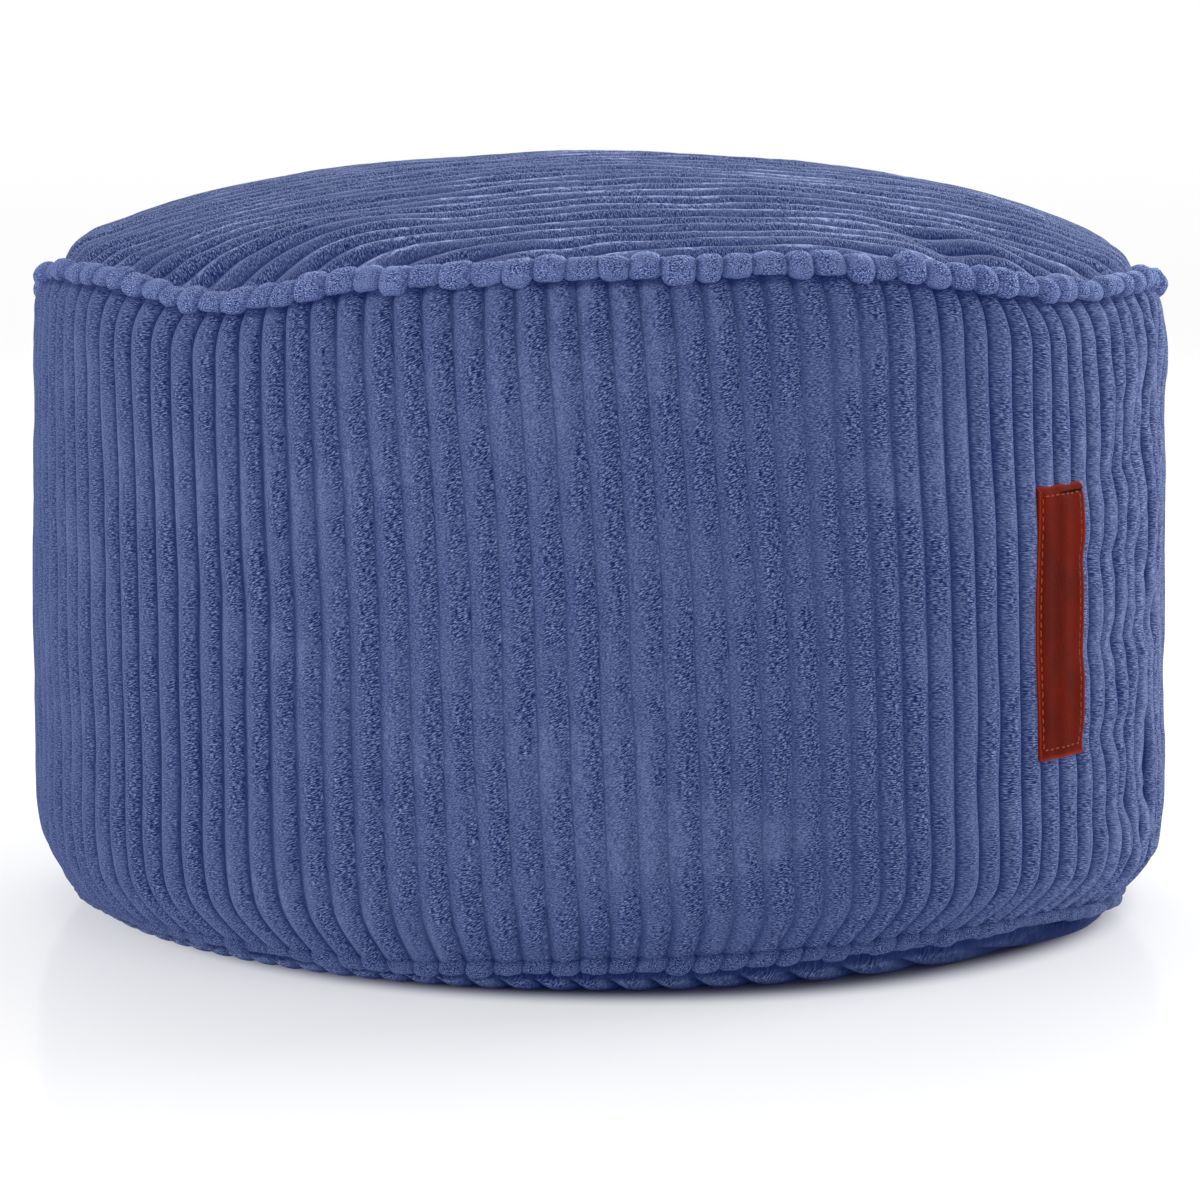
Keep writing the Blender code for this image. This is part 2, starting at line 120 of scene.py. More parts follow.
# How plump and rough the wales are: shares of their depth, and metres
PLUMP_UNEVEN = 0.12
CREST_ROUGH = 0.00016    # how far the crests go in and out
SMALL_CELL = 0.0065      # how long the roughness is along a wale

# Piping
BEAD_STEPS = 14          # columns to a bead
BEAD_SIDES = 20          # points round the strip
PIPING_START = 0.0003    # how far outside the rim the strip starts
BEAD_ANCHOR = 0.30       # the share of a bead's place that stays when it shrinks
BEAD_SQUARENESS = 2.6    # 2 makes round beads, more makes them blunt at their ends
BEAD_UNEVEN_SIZE = 0.16
BEAD_RIPPLE = 0.09
BEAD_TWIST = 0.0007
TOP_BEAD_SAG = 0.0026    # how far the beads hang down at the right side
LEFT_SAG = 1.7           # and how much further at the left one, as a share
STRIP_STRETCH = 2.2      # how much finer the pile's pattern lies along the strip

# Label
LABEL_ANGLE = 50.2
LABEL_WIDTH = 0.0315
LABEL_LOW = 0.0870
LABEL_HIGH = 0.2010
LABEL_HALF_WIDTH = 0.5 * LABEL_WIDTH
LABEL_HALF_HEIGHT = 0.5 * (LABEL_HIGH - LABEL_LOW)
LABEL_SINK = 0.0012      # how far its back is pressed into the wales
LABEL_STEP = 0.0006
LABEL_BOW = 0.0022       # how far its left edge bows in at half its height
LABEL_WAVE = 0.00022     # how far it rises over the wales
LABEL_CLEAR = 0.0002     # how far its face stands off them besides its thickness
LABEL_PULL = 0.00025     # how far the stitches pull it in
LABEL_PULL_IN = 0.0022   # in a line this far inside its edge
LABEL_PULL_WIDTH = 0.0011
LABEL_FOLD = 0.0019      # how far its top edge is tucked in
LABEL_SLIT = 0.0011      # how deep the slit under its top edge is
LABEL_SLIT_DOWN = 0.0038 # how far below that edge the slit is
LABEL_BEVEL = 0.00045
LABEL_CORNER = 50.0      # degrees; sharper edges than this are worn round

# Stitches round the label
STITCH_IN_LEFT = 0.0022
STITCH_IN_RIGHT = 0.0032
STITCH_IN_END = 0.0042
STITCH_HALF_WIDTH = 0.00035
STITCH_HALF_THICKNESS = 0.00032
STITCH_RAISE = 0.00012   # how far its middle stands off the leather
STITCH_BEND = 0.0001     # how far its ends dive into the leather
STITCH_UNEVEN_LENGTH = 0.18
STITCH_UNEVEN_PLACE = 0.00012
STITCH_UNEVEN_TURN = 0.08

# Stage
WHITE = (1.0, 1.0, 1.0, 1.0)
EDGE_GLOW = 0.88         # the floor's glow just clear of the stool, as a share; the fade there is a painted shadow
CAMERA_ASIDE = 0.0007    # how far the camera stands to the right of the middle
FILM_WIDTH = 36.0        # millimetres

# Where a line lies across one wale, from its left groove to the next one
WALE_LINES = (0.00, 0.06, 0.16, 0.28, 0.42, 0.58, 0.72, 0.84, 0.94)
WALE_SQUARENESS = 2.15
WALE_ROUNDNESS = 0.92
TAUT_ANGLE = -3.0        # the middle of the front, which is pulled tight
TAUT_HALF_ANGLE = 33.0
TAUT_SOFTNESS = 0.85     # how much softer the wales' grooves are there

# Painted shade and painted light of the side's pile, and how open it stands
GROOVE_SHADE = 0.90      # of the grooves, away from the front
SEAM_SHADE = 0.30        # and how much more of it close to the seams
CRACK_SHADE = 0.58       # of the last millimetres under the top piping
HIDDEN_SHADE = 0.85      # of flanks that their own crests hide from the camera
SEEN_FLANK = 0.38        # how far the painted light flank shifts there, to the part that is seen, in wales
OPEN_WIDTH = 0.36        # how much of a wale stands open, in wales
NAP_AND_LIGHT_LEVEL = 0.20         # what is taken from the flank light, partly painted, so that the rest lies darker
BRUSHED_NAP = 1.1        # how much lighter the brushed patches lie
BRUSHED_MOST = 0.86      # more than this would turn into painted highlight

# The side panel's upright profile at its wales' crests, from the bottom seam up
Section = namedtuple("Section", "height inset rib")
SIDE_PROFILE = [Section(*row) for row in (
    (0.0088, 0.0236, 0.0), (0.011, 0.0172, 0.6), (0.017, 0.0108, 0.9), (0.027, 0.0038, 1.0),
    (0.043, 0.0008, 1.0), (0.085, -0.0004, 1.0), (0.15, 0.0, 1.0), (0.215, 0.0011, 1.0),
    (0.26, 0.0022, 1.0), (0.272, 0.0036, 1.1), (0.2778, 0.007, 1.0), (0.27985, 0.0136, 0.0),
)]

# How far the top seam stands above or below its level height, and takes the wales with it
Lift = namedtuple("Lift", "angle rise")
SEAM_LIFT = [Lift(*row) for row in (
    (-175, 0.003), (-140, -0.001), (-105, 0.0012), (-75, 0.0022), (-54, 0.0018), (-37, -0.001),
    (-25, 0.0085), (-12, 0.0138), (8, 0.0164), (29, 0.014), (41, 0.0054), (57, -0.0028),
    (77, 0.0003), (110, 0.0022), (145, -0.0015),
)]
# Where the seam alone is pulled down and the top bulges over it
SEAM_DIP = [Lift(*row) for row in (
    (-160, 0.0), (-128, -0.005), (-103, -0.0094), (-90, -0.009), (-76, 0.0), (-40, 0.0),
    (40, 0.0), (74, 0.0), (88, -0.0078), (102, -0.01), (128, -0.0012), (160, 0.0),
)]
# The bottom seam's rise and reach round the stool; full is how squarely the bottom bulges
FootLift = namedtuple("FootLift", "angle rise out full")
FOOT_LIFT = [FootLift(*row) for row in (
    (-150, 0.001, 0.001, 1.0), (-90, 0.0005, 0.0026, 1.0), (-66, 0.0006, 0.004, 1.0),
    (-38, 0.0016, 0.002, 1.0), (-20, 0.0012, 0.003, 1.0), (-8, 0.0034, 0.004, 1.2),
    (6, 0.0048, 0.005, 1.2), (20, 0.006, 0.0052, 1.2), (38, 0.0066, 0.005, 1.4),
    (52, 0.0058, 0.0062, 2.0), (64, 0.003, 0.0104, 2.8), (74, 0.001, 0.0062, 2.0),
    (88, 0.0006, -0.003, 1.0), (150, 0.0014, 0.0, 1.0),
)]

# Sideways shifts of the side's wales, in metres: below the top, and at the foot
Lean = namedtuple("Lean", "angle top foot")
WALE_LEAN = [Lean(*row) for row in (
    (-150, 0.0, 0.0), (-100, -0.003, 0.001), (-60, -0.006, 0.001), (-40, -0.007, 0.001),
    (-28, -0.008, 0.002), (-10, -0.008, 0.004), (10, -0.008, 0.004), (25, -0.0055, 0.004),
    (45, -0.003, 0.003), (70, -0.002, 0.001), (110, 0.001, 0.0), (160, 0.002, 0.0),
)]
# The last stretch under the top seam, where the seam pulls the wales' tops sideways
Hook = namedtuple("Hook", "angle shift")
WALE_HOOK = [Hook(*row) for row in (
    (-150, 0.0), (-100, 0.001), (-70, 0.002), (-57, 0.005), (-48, 0.0085), (-41, 0.0085),
    (-36, 0.0045), (-31, 0.002), (-20, 0.001), (5, 0.0), (20, -0.002), (40, -0.003),
    (48, -0.009), (56, -0.01), (66, -0.006), (80, -0.003), (110, 0.0), (160, 0.001),
)]

# The last stretch above the bottom seam, where the wales' lower ends sweep aside
FOOT_HOOK = [Hook(*row) for row in (
    (-120, 0.0), (-84, 0.004), (-62, 0.009), (-42, 0.011), (-30, 0.008), (-14, 0.002),
    (2, -0.001), (16, -0.0045), (28, -0.01), (40, -0.015), (54, -0.016), (70, -0.012),
    (84, -0.005), (130, 0.0),
)]

# Soft fullness, hollows and creases of the side panel
Lump = namedtuple("Lump", "angle height half_angle half_height out")
SIDE_LUMPS = [Lump(*row) for row in (
    (-84, 0.012, 28, 0.006, 0.0022), (-86, 0.024, 24, 0.009, -0.0018),
    (90, 0.248, 22, 0.02, 0.0024), (92, 0.205, 22, 0.045, 0.001), (86, 0.05, 30, 0.05, 0.002),
    (-4, 0.12, 34, 0.06, 0.0016), (-36, 0.255, 9, 0.022, -0.0026),
    (57, 0.255, 9, 0.022, -0.0022), (24, 0.225, 20, 0.05, -0.0014),
    (-58, 0.165, 16, 0.06, 0.0012), (152, 0.12, 28, 0.07, 0.002),
    (-140, 0.175, 24, 0.06, -0.002), (-172, 0.085, 20, 0.04, 0.0014),
)]
Crease = namedtuple("Crease", "angle height half_angle half_height depth slope")
SIDE_CREASES = [Crease(*row) for row in (
    (63, 0.205, 8.0, 0.0075, 0.0022, 0.05), (61, 0.167, 7.5, 0.0065, 0.0024, -0.04),
    (64, 0.131, 9.0, 0.007, 0.0026, 0.03), (60, 0.09, 8.0, 0.0065, 0.0024, -0.05),
    (65, 0.057, 9.0, 0.007, 0.0022, 0.04), (72, 0.235, 6.0, 0.008, 0.0012, -0.06),
    (-148, 0.225, 9.0, 0.008, 0.0016, 0.05), (-128, 0.07, 10.0, 0.008, 0.0018, -0.04),
    (126, 0.195, 8.0, 0.008, 0.0018, 0.05), (171, 0.052, 9.0, 0.0075, 0.0016, -0.03),
)]

# Creases and fullness of the top panel; reach is the distance from the middle
Dent = namedtuple("Dent", "angle reach half_angle half_reach up")
TOP_DENTS = [Dent(*row) for row in (
    (42, 0.22, 3.6, 0.028, -0.0056), (49, 0.216, 3.6, 0.02, 0.0026),
    (-3, 0.222, 3.0, 0.016, -0.002), (84, 0.218, 16.0, 0.022, -0.0022),
    (-92, 0.229, 26.0, 0.011, 0.0032), (84, 0.229, 22.0, 0.011, 0.0016),
    (-36, 0.205, 15.0, 0.032, 0.0056), (-112, 0.2, 10.0, 0.04, -0.0022),
    (150, 0.19, 14.0, 0.045, -0.0025), (-160, 0.17, 18.0, 0.045, 0.0018),
    (-118, 0.18, 24.0, 0.055, 0.003),
)]

# The piping's beads round the stool: size and neck as shares, lean in metres
Bead = namedtuple("Bead", "angle size neck lean")
TOP_BEADS = [Bead(*row) for row in (
    (-150, 1.0, 0.44, 0.0), (-90, 0.88, 0.5, 0.001), (-70, 0.92, 0.5, 0.0026),
    (-50, 0.98, 0.5, 0.003), (-38, 1.0, 0.54, 0.002), (-26, 0.98, 0.66, 0.0008),
    (-13, 0.98, 0.72, 0.0004), (-2, 1.0, 0.68, 0.0), (8, 1.02, 0.6, 0.0),
    (20, 1.06, 0.5, -0.0006), (36, 1.1, 0.46, -0.001), (46, 1.02, 0.46, -0.0016),
    (60, 0.94, 0.52, -0.0022), (76, 0.96, 0.46, -0.0024), (100, 1.0, 0.46, -0.0008),
    (150, 1.0, 0.52, 0.0),
)]
FOOT_BEADS = [Bead(*row) for row in (
    (-150, 0.95, 0.7, 0.0), (-90, 0.7, 0.8, 0.0), (-56, 0.7, 0.74, -0.001),
    (-36, 0.9, 0.62, -0.0012), (0, 1.0, 0.54, 0.0006), (20, 1.05, 0.56, 0.0014),
    (36, 0.9, 0.8, 0.002), (64, 0.75, 0.92, 0.001), (100, 0.8, 0.84, 0.0),
    (150, 0.95, 0.7, 0.0),
)]
# Middle and half size of a bead's section, out and up from its seam line, and the strength of
# its painted top light
BeadSection = namedtuple("BeadSection", "out up half_out half_up uneven drift nap open")
TOP_BEAD = BeadSection(0.0060, 0.0002, 0.0056, 0.0054, 0.0013, 0.0012, 0.8, 0.80)
FOOT_BEAD = BeadSection(0.0042, 0.0014, 0.0037, 0.0038, 0.0010, 0.0010, 0.1, 0.8)

# How the pile lies round the side: across says where on a wale its pile stands open,
# nap which flank lies smooth and light, 1 the left one and -1 the right one, partly the
# pile's own lie and partly painted light from the side lamps, and slant how steeply the
# pile's rows climb to the right
Pile = namedtuple("Pile", "angle across open nap slant")
SIDE_PILE = [Pile(*row) for row in (
    (-150, 0.55, 0.6, 0.2, 0.0), (-110, 0.8, 0.3, 0.6, 0.0), (-85, 0.85, 0.05, 0.8, 0.0),
    (-60, 0.82, 0.34, 0.9, 0.2), (-35, 0.78, 0.85, 0.9, 0.3), (-10, 0.7, 1.12, 0.6, 0.4),
    (12, 0.64, 1.12, 0.5, 0.3), (25, 0.52, 0.98, 0.1, 0.1), (36, 0.42, 0.7, -0.7, 0.0),
    (50, 0.38, 0.5, -1.15, -0.1), (64, 0.25, 0.4, -1.25, -0.1), (85, 0.25, 0.35, -1.1, 0.0),
    (110, 0.3, 0.4, -0.6, 0.0), (150, 0.5, 0.6, -0.1, 0.0),
)]


def angle_between(first, second):
    """The turn from the second angle to the first, from -180 to 180."""
    return (first - second + 180.0) % 360.0 - 180.0


def ease(value, start, end):
    """Rise smoothly from 0 at start to 1 at end."""
    share = np.clip((value - start) / (end - start), 0.0, 1.0)
    return share * share * (3.0 - 2.0 * share)


def bell(distance, half_width):
    """A soft hump, 1 at no distance and near 0 past twice the half width."""
    return np.exp(-(distance / half_width) ** 2)


def near(angle, middle, half_angle):
    """A soft hump round the stool, with its middle at an angle."""
    return bell(angle_between(angle, middle), half_angle)


def through(knots, values, places):
    """A smooth curve through values at their knots, read at the places."""
    knots = np.asarray(knots, float)
    values = np.asarray(values, float)
    slopes = np.gradient(values, knots)
    index = np.clip(np.searchsorted(knots, places, side="right") - 1, 0, len(knots) - 2)
    span = knots[index + 1] - knots[index]
    share = (places - knots[index]) / span
    square, cube = share ** 2, share ** 3
    return ((2 * cube - 3 * square + 1) * values[index]
            + (cube - 2 * square + share) * span * slopes[index]
            + (3 * square - 2 * cube) * values[index + 1]
            + (cube - square) * span * slopes[index + 1])


def around(table, angles, column):
    """A table's column at any angles, on a smooth closed curve through its rows."""
    knots = [row.angle for row in table]
    values = [getattr(row, column) for row in table]
    knots = [knot - 360.0 for knot in knots[-2:]] + knots + [knot + 360.0 for knot in knots[:2]]
    values = values[-2:] + values + values[:2]
    first = table[0].angle
    return through(knots, values, (np.asarray(angles) - first) % 360.0 + first)


def unevenness(seed, cells, x, y):
    """Soft noise from -1 to 1, with x and y counted in cells of a grid that repeats."""
    values = np.random.default_rng(seed).uniform(-1.0, 1.0, cells)
    column, row = np.floor(x).astype(int), np.floor(y).astype(int)
    across, up = ease(x - column, 0.0, 1.0), ease(y - row, 0.0, 1.0)
    left, right = column % cells[0], (column + 1) % cells[0]
    low, high = row % cells[1], (row + 1) % cells[1]
    below = values[left, low] * (1 - across) + values[right, low] * across
    above = values[left, high] * (1 - across) + values[right, high] * across
    return below * (1 - up) + above * up


def uneven_round(seed, cells, angle, height, cell_height):
    """Soft noise round the stool, with so many cells round it."""
    return unevenness(seed, cells, angle / 360.0 * cells[0], height / cell_height)


def wale_rise(across):
    """How high a wale stands across its pitch, 0 in the grooves and 1 on its crest."""
    return (1.0 - np.abs(2.0 * across - 1.0) ** WALE_SQUARENESS) ** WALE_ROUNDNESS


def painted_flank_light(across, nap):
    """How light the pile lies across a wale, from 1 down to -1, partly by its lie and partly as
    painted light.
    """
    left = 2.0 * bell(across - 0.28, 0.32) - 1.0
    right = 2.0 * bell(0.72 - across, 0.38) - 1.0
    return np.maximum(nap, 0.0) * left + np.maximum(-nap, 0.0) * right


def polar(angles, radii, heights):
    """Points at angles from the front, distances from the axis, and heights."""
    turn = np.radians(angles)
    return np.stack([radii * np.sin(turn), -radii * np.cos(turn), heights], axis=-1)


def seam_lift(angles):
    """How far the top seam stands above its level height."""
    return around(SEAM_LIFT, angles, "rise") + around(SEAM_DIP, angles, "rise")


# ---------------------------------------------------------------- mesh handling

def cut_cloth(name, columns, rows):
    """A flat grid of cloth, with each point's column and row."""
    bpy.ops.object.select_all(action="DESELECT")
    bpy.ops.mesh.primitive_grid_add(x_subdivisions=columns, y_subdivisions=rows, size=1.0)
    piece = bpy.context.object
    piece.name = piece.data.name = name
    flat = np.empty(len(piece.data.vertices) * 3)
    piece.data.vertices.foreach_get("co", flat)
    flat = flat.reshape(-1, 3)
    column = np.rint((flat[:, 0] + 0.5) * columns).astype(int)
    row = np.rint((flat[:, 1] + 0.5) * rows).astype(int)
    return piece, column, row


def place_points(piece, points):
    """Move the piece's points to their places."""
    piece.data.vertices.foreach_set("co", np.asarray(points, float).ravel())
    piece.data.update()


def point_value(piece, name, values):
    """Keep one number for each point, for the materials to read."""
    layer = piece.data.attributes.new(name, "FLOAT", "POINT")
    layer.data.foreach_set("value", np.asarray(values, np.float32).ravel())


def cloth_map(piece, across, along):
    """Write each point's place on the flat cloth, in metres, as the UV map."""
    corners = np.empty(len(piece.data.loops), int)
    piece.data.loops.foreach_get("vertex_index", corners)
    layer = piece.data.uv_layers.active or piece.data.uv_layers.new(name="cloth")
    layer.name = "cloth"
    places = np.stack([across[corners], along[corners]], axis=-1)
    layer.data.foreach_set("uv", places.astype(np.float32).ravel())


def close_skin(piece):
    """Join meeting edges, close what is open with fans, face outwards, shade smooth."""
    bpy.ops.object.select_all(action="DESELECT")
    bpy.context.view_layer.objects.active = piece
    piece.select_set(True)
    bpy.ops.object.mode_set(mode="EDIT")
    bpy.ops.mesh.select_mode(type="VERT")
    bpy.ops.mesh.select_all(action="SELECT")
    bpy.ops.mesh.remove_doubles(threshold=MERGE_DISTANCE)
    bpy.ops.mesh.select_all(action="DESELECT")
    bpy.ops.mesh.select_non_manifold()
    if piece.data.total_vert_sel:
        bpy.ops.mesh.select_mode(type="EDGE")
        bpy.ops.mesh.edge_face_add()
        bpy.ops.mesh.select_mode(type="FACE")
        bpy.ops.mesh.poke()
    bpy.ops.mesh.select_all(action="SELECT")
    bpy.ops.mesh.normals_make_consistent(inside=False)
    bpy.ops.object.mode_set(mode="OBJECT")
    bpy.ops.object.shade_smooth()


def keep(piece, node, material):
    """Give the piece its material and its body, and hide the solid model's part that it stands
    for.
    """
    piece.data.materials.clear()
    piece.data.materials.append(material)
    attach(piece, "root")
    if node:
        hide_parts(node)
    return piece


# ---------------------------------------------------------------- side panel

def side_sections():
    """The side's rows from seam to seam: place, height, inset and how raised the wales are."""
    height = np.array([section.height for section in SIDE_PROFILE])
    inset = np.array([section.inset for section in SIDE_PROFILE])
    rib = np.array([section.rib for section in SIDE_PROFILE])
    length = np.concatenate([[0.0], np.cumsum(np.hypot(np.diff(height), np.diff(inset)))])
    share = np.linspace(0.0, 1.0, SIDE_ROWS + 1)
    share = share - ROW_CROWDING * np.sin(2 * math.pi * share) / (2 * math.pi)
    place = share * length[-1]
    return place, through(length, height, place), through(length, inset, place), \
        np.clip(through(length, rib, place), 0.0, 1.2)


def side_shift(angle, height):
    """How far a wale has leant sideways at a height, in degrees round the stool."""
    above = np.clip((height - LEAN_MIDDLE) / LEAN_REACH, 0.0, 1.15)
    below = np.clip((LEAN_MIDDLE - height) / LEAN_REACH, 0.0, 1.30)
    hook = ease(height, HOOK_START, HOOK_END)
    foot_hook = np.clip((FOOT_HOOK_HEIGHT - height)
                        / (FOOT_HOOK_HEIGHT - BOTTOM_SEAM_HEIGHT), 0.0, 1.0) ** FOOT_HOOK_POWER
    shift = (above * around(WALE_LEAN, angle, "top") + below * around(WALE_LEAN, angle, "foot")
             + hook * around(WALE_HOOK, angle, "shift")
             + foot_hook * around(FOOT_HOOK, angle, "shift"))
    return np.degrees(shift / RADIUS)


def side_fullness(angle, height):
    """How far the side is fuller than its profile: lumps, creases and small unevenness."""
    out = np.zeros_like(angle)
    for lump in SIDE_LUMPS:
        out += (lump.out * near(angle, lump.angle, lump.half_angle)
                * bell(height - lump.height, lump.half_height))
    for crease in SIDE_CREASES:
        aside = angle_between(angle, crease.angle)
        level = crease.height + crease.slope * np.radians(aside) * RADIUS
        out -= crease.depth * bell(aside, crease.half_angle) * bell(height - level,
                                                                    crease.half_height)
    out += 0.0006 * uneven_round(11, (14, 8), angle, height, 0.045)
    out += 0.0003 * uneven_round(12, (44, 16), angle, height, 0.020)
    return out


def wale_wander(across, height, crumple_shift):
    """The wales' uneven widths and courses, as a sideways shift in metres."""
    groove = np.floor(across)
    share = across - groove
    edges = []
    for step in (0, 1):
        place = (groove + step) % WALE_COUNT
        crumple = near(180.0 + 360.0 * place / WALE_COUNT, CRUMPLE_ANGLE, CRUMPLE_HALF_ANGLE)
        slow = unevenness(21, (31, 6), place / WALE_COUNT * 31, height / 0.060)
        quick = unevenness(22, (WALE_COUNT, 16), place, height / 0.028)
        tight = (unevenness(23, (31, 40), place / 3.5, height / 0.024)
                 + 0.35 * unevenness(24, (WALE_COUNT, 40), place, height / 0.013))
        tight += 0.45 * unevenness(25, (WALE_COUNT, 1), place, np.zeros_like(height))
        edges.append(0.0007 * slow + 0.0005 * quick + crumple_shift * crumple * tight)
    return edges[0] * (1 - share) + edges[1] * share


def label_press(angle, height):
    """1 under the label, where it presses the wales flat, and 0 clear of it."""
    half_turn = math.degrees(LABEL_HALF_WIDTH / RADIUS)
    aside = np.abs(angle_between(angle, LABEL_ANGLE))
    return (ease(half_turn - aside, -0.10, 0.25)
            * ease(height, LABEL_LOW - 0.001, LABEL_LOW + 0.002)
            * (1 - ease(height, LABEL_HIGH - 0.002, LABEL_HIGH + 0.001)))


def make_side_panel(material, shape):
    """The filled band: upright leaning wales over the drum's profile."""
    lines = len(WALE_LINES)
    columns = WALE_COUNT * lines
    piece, column, row = cut_cloth("corduroy_side", columns, SIDE_ROWS)
    lines_across = np.arange(WALE_COUNT)[:, None] + np.array(WALE_LINES)
    across = np.append(lines_across.ravel(), WALE_COUNT)[column]
    place, height, inset, rib = (values[row] for values in side_sections())
    share = across - np.floor(across)
    rise = wale_rise(share)

    start = 180.0 + 360.0 * across / WALE_COUNT
    angle = start + side_shift(start, height)
    fade = ease(height, 0.012, 0.030) * (1 - ease(height, 0.268, 0.279))
    angle = angle + np.degrees(wale_wander(across, height, shape.crumple) * fade / RADIUS)

    # the profile's outward direction, so that wales round over into the seams
    steps, line_height, line_inset, _ = side_sections()
    slope_up, slope_in = np.gradient(line_height, steps), np.gradient(line_inset, steps)
    outward, upward = slope_up[row], slope_in[row]
    wale = np.floor(across)
    plump = 1.0 + PLUMP_UNEVEN * unevenness(31, (WALE_COUNT, 12), wale, height / 0.030)
    taut = (near(angle, TAUT_ANGLE, TAUT_HALF_ANGLE)
            * ease(height, 0.020, 0.060) * (1 - ease(height, 0.225, 0.265)))
    soft = TAUT_SOFTNESS * taut
    rise = rise * (1 - soft) + (0.5 - 0.5 * np.cos(2 * math.pi * share)) * soft
    depth = shape.wale_depth * (1.0 - shape.tautness * taut) * rib * (1.0 - rise * plump)
    press = label_press(angle, height)
    depth = depth * (1 - press) + press * LABEL_SINK
    depth -= CREST_ROUGH * rise * unevenness(32, (WALE_COUNT * 3, 40), across * 3,
                                             height / SMALL_CELL)
    pucker = (unevenness(33, (WALE_COUNT, 30), wale, height / 0.015)
              + 0.6 * unevenness(34, (WALE_COUNT, 60), wale, height / 0.007))
    depth -= (CRUMPLE_DEPTH * near(angle, PUCKER_ANGLE, PUCKER_HALF_ANGLE)
              * fade * pucker * (1 - press))

    foot = 1 - ease(height, BOTTOM_SEAM_HEIGHT, FOOT_FADE)
    lifted = (ease(height, LIFT_START, LIFT_END) * seam_lift(angle)
              + foot * around(FOOT_LIFT, angle, "rise"))
    squeeze = ease(rib, 0.0, 0.8)
    radius = (RADIUS - inset + side_fullness(angle, height) * squeeze
              + foot * around(FOOT_LIFT, angle, "out") * (1 - squeeze * 0.5) - depth * outward)
    place_points(piece, polar(angle, radius, height + lifted - depth * upward))

    shade_side(piece, angle, height, share, rise)
    climb = around(SIDE_PILE, angle, "slant") * (share - 0.5) * WALE_PITCH
    longer = LONG_ROWS * ease(start, 380.0, 460.0)
    cloth_map(piece, across * WALE_PITCH - longer, place - climb)
    close_skin(piece)
    return keep(piece, "side_panel", material)


def shade_side(piece, angle, height, share, rise):
    """Write the side's painted shade, how open its pile lies, and its lighter flanks, partly
    painted light.
    """
    aside = angle_between(angle, 0.0)
    seams = bell(height - 0.018, 0.012) + 0.6 * bell(height - 0.270, 0.010)
    groove = ((GROOVE_SHADE * ease(np.abs(aside), 12.0, 44.0) + SEAM_SHADE * seams)
              * ease(1 - rise, 0.50, 1.0))
    # towards the right, a wale's own crest hides its right flank and shades the next groove
    flank = np.clip(0.82 - 0.010 * (aside - 45.0), 0.54, 0.84)
    hidden = ((HIDDEN_SHADE * ease(aside, 14.0, 40.0) - 0.30 * ease(aside, 60.0, 80.0))
              * (aside < 130.0))
    groove = np.maximum(groove, hidden * ease(share, flank, flank + 0.12))
    crack = CRACK_SHADE * ease(height, 0.2731, 0.2742)
    point_value(piece, "shade", np.maximum(groove, crack))

    brushed = ease(uneven_round(35, (24, 10), angle, height, 0.034)
                   + 0.5 * uneven_round(36, (90, 20), angle, height, 0.016), 0.10, 0.85)
    middle = around(SIDE_PILE, angle, "across")
    opened = around(SIDE_PILE, angle, "open") * bell(share - middle, OPEN_WIDTH)
    point_value(piece, "open", opened * (1.10 - 0.55 * brushed))
    # painted light on the flank that the camera sees, partly the pile's own lie; brushed
    # patches lie lighter
    seen = SEEN_FLANK * ease(aside, 8.0, 60.0) * (1 - ease(aside, 110.0, 150.0))
    nap = painted_flank_light(share + seen, around(SIDE_PILE, angle, "nap")) - NAP_AND_LIGHT_LEVEL
    lighter = np.minimum(nap + BRUSHED_NAP * brushed, BRUSHED_MOST)
    point_value(piece, "nap", np.maximum(nap, lighter))


# ---------------------------------------------------------------- top and bottom

def chord_grid(name, rim_radius, steps):
    """A round of cloth cut across its wales: a grid whose rows are chords of the round.

    Gives the piece with each point's place along and across the wales, and its share
    across its own wale.
    """
    reach = int(rim_radius / WALE_PITCH) + 1
    across = np.array([(wale + line) * WALE_PITCH
                       for wale in range(-reach, reach) for line in WALE_LINES])
    across = across[np.abs(across) < rim_radius - 0.0004]
    edge = rim_radius - 0.0002
    across = np.concatenate([[-edge], across, [edge]])
    piece, column, row = cut_cloth(name, steps, len(across) - 1)
    level = across[row]
    half = np.sqrt(np.maximum(rim_radius ** 2 - level ** 2, 0.0))
    along = half * np.sin(0.5 * math.pi * (2.0 * column / steps - 1.0))
    share = (level / WALE_PITCH) % 1.0
    return piece, along, level, share


def turned(along, across, degrees):
    """Flat positions with the wales turned from the left-right line."""
    turn = math.radians(degrees)
    return (along * math.cos(turn) - across * math.sin(turn),
            along * math.sin(turn) + across * math.cos(turn))


def top_height(x, y):
    """The height of the top panel at its wales' crests."""
    reach = np.hypot(x, y)
    angle = np.degrees(np.arctan2(x, -y))
    share = np.minimum(reach / CROWN_SPREAD, 1.0)
    rim_share = reach / TOP_RIM_RADIUS
    rim_height = SEAM_HEIGHT + seam_lift(angle)
    height = (SEAM_HEIGHT - CROWN_BASE_DROP + CROWN * (1.0 - share * share) ** CROWN_POWER
              + around(SEAM_LIFT, angle, "rise") * rim_share ** LIFT_FADE_POWER
              + around(SEAM_DIP, angle, "rise") * rim_share ** DIP_FADE_POWER)
    for dent in TOP_DENTS:
        height += (dent.up * near(angle, dent.angle, dent.half_angle)
                   * bell(reach - dent.reach, dent.half_reach))
    height += 0.0007 * unevenness(41, (16, 16), x / 0.050, y / 0.050)
    height += 0.00035 * unevenness(42, (30, 30), x / 0.021, y / 0.021)
    width = (TOP_ROLL + FRONT_ROLL * near(angle, -8.0, 42.0)
             - SIDE_ROLL * bell(np.abs(angle) - 92.0, 24.0))
    rim_gap = np.clip((TOP_RIM_RADIUS - reach) / width, 0.0, 1.0)
    roll = np.sqrt(1.0 - (1.0 - rim_gap) ** 2)
    return rim_height + (height - rim_height) * roll


